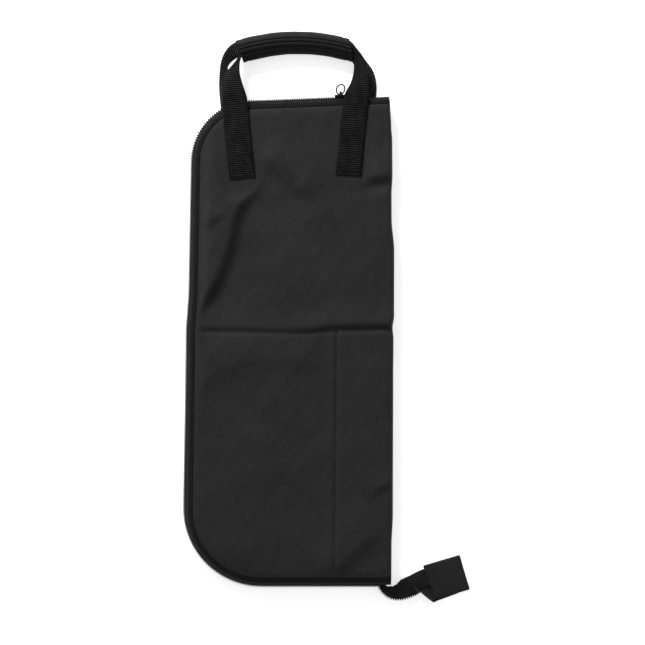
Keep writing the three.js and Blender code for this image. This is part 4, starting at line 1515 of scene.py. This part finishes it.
def wrap_wall(share, degrees, radii):
    """Points of the wrap, for shares of its length from the left and directions and radii in its section."""
    left = WRAP_LEFT_ANGLE + 0.25 * np.cos(np.radians(degrees))
    right = WRAP_RIGHT_ANGLE + 1.45 * np.cos(np.radians(degrees))
    angle = np.radians(left + (right - left) * share[:, None])
    outward = radii * np.cos(np.radians(degrees)) - wrap_sag(degrees, share[:, None])
    return on_grip(angle, outward, GRIP_Z + radii * np.sin(np.radians(degrees)))


def wrap_rings(start, end, lapped):
    """Rings of a curved, padded wall; each ring runs along its outer face and back along its inner face."""
    degrees = np.linspace(start, end, max(6, int((end - start) / 2.2)))
    lap = lap_rise(degrees)
    outer = wrap_radius(degrees)
    inner = PAD_OUTER - PAD_THICKNESS
    if lapped:
        inner = inner + lap * (LAP_RISE + PAD_THICKNESS - LAP_THICKNESS) / LAP_RISE
    else:
        outer = outer - lap
    edge = np.minimum(degrees - start, end - degrees)
    thin = np.sqrt(np.clip(edge / 6.0, 0, 1)) * (1 - HEM_SHARE) + HEM_SHARE
    middle = (outer + inner) / 2
    outer = middle + (outer - middle) * thin
    inner = middle + (inner - middle) * thin
    section = np.concatenate([degrees, degrees[::-1]])
    radii = np.concatenate([outer, inner[::-1]])
    share = np.linspace(0, 1, 110)
    ends = np.minimum(share, 1 - share) * (GRIP_RADIUS * math.radians(WRAP_LEFT_ANGLE - WRAP_RIGHT_ANGLE))
    pinch = 1 - 0.045 * np.exp(-((ends / 2.4) ** 2)) - 0.05 * np.exp(-(((ends - 5.0) / 1.5) ** 2))
    uneven = 1 + 0.014 * wander(share[:, None] * 100 + section * 0.1, 33.0, 15)
    rings = wrap_wall(share, section, radii * pinch[:, None] * uneven)
    rings[:, :, 2] = np.maximum(rings[:, :, 2], 0.12)
    return rings, cloth_on(rings, share * 105.0, np.radians(section) * PAD_OUTER, radii * 0.2)


def wrap_line(degrees):
    """A line on the wrap's outer face along the grip, with its outward directions."""
    share = np.linspace(0.03, 0.97, 60)
    degrees = np.array([degrees])
    radius = wrap_radius(degrees)
    line = wrap_wall(share, degrees, radius)[:, 0]
    return line, wrap_wall(share, degrees, radius + 1)[:, 0] - line


def wrap_piece(name, start, end, lapped, channels):
    rings, cloth = wrap_rings(start, end, lapped)
    patch = swept(Patch(), rings, cloth=cloth)
    for channel in channels:
        stitch_run(patch, *wrap_line(channel), pitch=3.0, length=2.3)
    # the wrap's pieces wear the copy of the shell cloth painted darker as shade
    return patch.piece(name, wrap_cloth_painted_shade, sewing_thread, strays=False)


def wrap_band(name, start, end, inner, thickness, material):
    """A thin curved wall of even thickness, for padding and fastener strips."""
    degrees = np.linspace(start, end, 26)
    section = np.concatenate([degrees, degrees[::-1]])
    radii = np.repeat([inner + thickness, inner], 26)
    patch = swept(Patch(), wrap_wall(np.linspace(0.03, 0.97, 70), section, radii))
    return patch.piece(name, material, strays=False)


def padded_wrap():
    """The wrap's base, its flap and the fold between them, with their padding and fastener strips."""
    base = wrap_piece("wrap_base_fabric", BASE_START, 360 - HINGE_HALF, False, BASE_CHANNELS)
    ride(base, "front_handle", "shell_fabric", "wrap_base_cover")
    flap = wrap_piece("wrap_flap_fabric", HINGE_HALF, FLAP_END, True, FLAP_CHANNELS + (FLAP_HEM,))
    ride(flap, "wrap_flap", "shell_fabric", "wrap_flap_cover")
    hinge = wrap_piece("wrap_fold_fabric", -HINGE_HALF, HINGE_HALF, True, ())
    reach = PAD_OUTER * math.sin(math.radians(HINGE_HALF)) - 0.4
    low, high = row([[0, 0, GRIP_Z - reach], [0, 0, GRIP_Z + reach]], strays=False)
    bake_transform(hinge)
    base_pad = wrap_band("wrap_base_foam", 186, 354, *PADDING_WALL, foam_cells)
    ride(base_pad, "front_handle", "foam", "wrap_base_padding")
    flap_pad = wrap_band("wrap_flap_foam", 6, 176, *PADDING_WALL, foam_cells)
    ride(flap_pad, "wrap_flap", "foam", "wrap_flap_padding")
    loops = wrap_band("wrap_loop_pile", *STRIP_SPAN, *LOOP_WALL, loop_nylon)
    ride(loops, "front_handle", "touch_fastener", "wrap_loop_strip")
    hooks = wrap_band("wrap_hook_pile", *STRIP_SPAN, *HOOK_WALL, hook_nylon)
    ride(hooks, "wrap_flap", "touch_fastener", "wrap_hook_strip")


padded_wrap()


# ---- zip tail ------------------------------------------------------------------------------------------
TAIL_OPEN_START = 0.46
TAIL_OPEN_END = 0.74
TAPE_START = -0.9
# (share of the tail's length, width of each tape beyond the coil's line)
TAPE_REACH = (
    (0.0, 4.0),
    (0.07, 6.0),
    (0.14, 9.4),
    (0.22, 12.6),
    (0.3, 15.2),
    (0.4, 17.2),
    (0.5, 17.8),
    (0.74, 16.8),
)
FOLDED_HALF_ANGLE = math.radians(3)
TAIL_CORD = 0.6
TAB_SEAM_INSET = 2.4
UP = np.array([0, 0, 1.0])


def tail_stations():
    """The tail's middle line, level directions across it, shares of its length, how flat it has turned."""
    line = resample(np.array(TAIL_LINE), 0.8, 6.0)
    along = tangents(line)
    flat = unit(np.column_stack([along[:, :2], np.zeros(len(along))]))
    inward = np.column_stack([-flat[:, 1], flat[:, 0], np.zeros(len(flat))])
    share = np.linspace(0, 1, len(line))
    opened = smooth((share - TAIL_OPEN_START) / (TAIL_OPEN_END - TAIL_OPEN_START))
    return line, inward, share, opened


def turned_up(inward, angle):
    """Directions turned from level up by these angles."""
    return inward * np.cos(angle)[:, None] + UP * np.sin(angle)[:, None]


def tail_tape(part, sign):
    """One of the tail's two tapes: it stands on edge at the tail's root and lies flat at the tab."""
    line, inward, share, opened = tail_stations()
    half = FOLDED_HALF_ANGLE + (math.pi / 2 - FOLDED_HALF_ANGLE) * opened
    angle = opened * math.pi / 2 + sign * half
    across = turned_up(inward, angle)
    face = turned_up(inward, angle + sign * math.pi / 2)
    width = knots(share, TAPE_REACH) - TAPE_START
    u = np.linspace(0, 1, 13)
    reach = TAPE_START + u * width[:, None]
    lengths = share * 80
    folded = 1 - opened[:, None]
    ripple = 0.35 * wander(lengths[:, None] + 6 * u, 15.0, 17 + sign) * u * folded
    curl = 0.9 * np.sin(u * math.pi) * np.sin(opened * math.pi)[:, None] * sign
    middle = line[:, None] + across[:, None] * reach[:, :, None]
    lift = 0.6 + ripple + curl
    top = middle + face[:, None] * (lift + 0.35)[:, :, None]
    bottom = middle + face[:, None] * (lift - 0.35)[:, :, None]
    rings = np.concatenate([top, bottom[:, ::-1]], axis=1)
    rings[:, :, 2] = np.maximum(rings[:, :, 2], 0.9)
    both = np.concatenate([u, u[::-1]])
    patch = swept(Patch(), rings, cloth=cloth_on(rings, lengths, both * 12))
    tape = patch.piece(f"tail_tape_{part}", tail_cloth, strays=False)
    ride(tape, "zip_tail", "zip_tape", f"tail_{part}_tape")


def tail_coil():
    line, inward, share, opened = tail_stations()
    keep = share < TAIL_OPEN_END
    tilt = opened * 0.999 * math.pi / 2
    wide = turned_up(inward, tilt)[keep]
    tall = turned_up(inward, tilt + math.pi / 2)[keep]
    base = line[keep] - wide * 0.2
    patch = swept(Patch(), coil_rings(base, wide, tall, lengths_along(base)[-1]))
    swept(patch, rounded_tube(base, TAIL_CORD, 8), look=THREAD_LOOK)
    coil = patch.piece("tail_teeth", coil_nylon, sewing_thread, strays=False)
    ride(coil, "zip_tail", "zip_coil", "tail_coil")


def tail_tab():
    """A square of shell fabric folded over the zip's end and sewn round."""
    half_long, half_wide = TAB_SIZE[0] / 2, TAB_SIZE[1] / 2
    u = np.linspace(-1, 1, 45)
    uu, vv = np.meshgrid(u, u, indexing="ij")
    x = uu * half_long * (1 - 0.012 * (1 - vv**2) * (np.abs(uu) > 0.9))
    y = vv * half_wide * (1 - 0.018 * vv**2)
    past_u, past_v = (np.maximum(np.abs(way) - 0.86, 0) for way in (uu, vv))
    corner = np.clip(np.hypot(past_u, past_v) / 0.14, 0, 1.42)
    pull = 1 - 0.018 * np.maximum(corner - 1, 0) * 2
    x, y = x * pull, y * pull
    border = np.minimum((1 - np.abs(uu)) * half_long, (1 - np.abs(vv)) * half_wide)
    edge = np.sqrt(np.clip(border / 1.6, 0, 1))
    seam = np.exp(-(((border - TAB_SEAM_INSET) / 0.7) ** 2))
    dimple = 0.14 * wander(x + y * 0.7, 19.0, 21)
    thick = 0.25 + (TAB_THICKNESS / 2 - 0.3) * edge - 0.42 * seam + dimple * edge
    middle = TAB_THICKNESS / 2
    top = np.stack([x, y, middle + thick], axis=-1)
    bottom = np.stack([x, y, np.maximum(middle - thick, 0.05)], axis=-1)
    patch = sheet_solid(top, bottom, turned=True)
    long, wide = half_long - TAB_SEAM_INSET, half_wide - TAB_SEAM_INSET
    corners = np.array([(-long, -wide), (long, -wide), (long, wide), (-long, wide), (-long, -wide)])
    for start, end in zip(corners[:-1], corners[1:]):
        line = np.column_stack([np.linspace(start, end, 20), np.full(20, middle + TAB_THICKNESS / 2 - 0.5)])
        stitch_run(patch, line, (0, 0, 1), pitch=2.8, length=2.1)
    turn = np.array([[math.cos(TAB_TURN), -math.sin(TAB_TURN)], [math.sin(TAB_TURN), math.cos(TAB_TURN)]])
    for points in patch.points:
        points[:, :2] = points[:, :2] @ turn.T + TAB_CENTRE
    tab = patch.piece("tail_tab_cloth", tab_cloth, sewing_thread, strays=False)
    ride(tab, "zip_tail", "shell_fabric", "tail_tab")


tail_tab()
tail_tape("upper", 1)
tail_tape("lower", -1)
tail_coil()
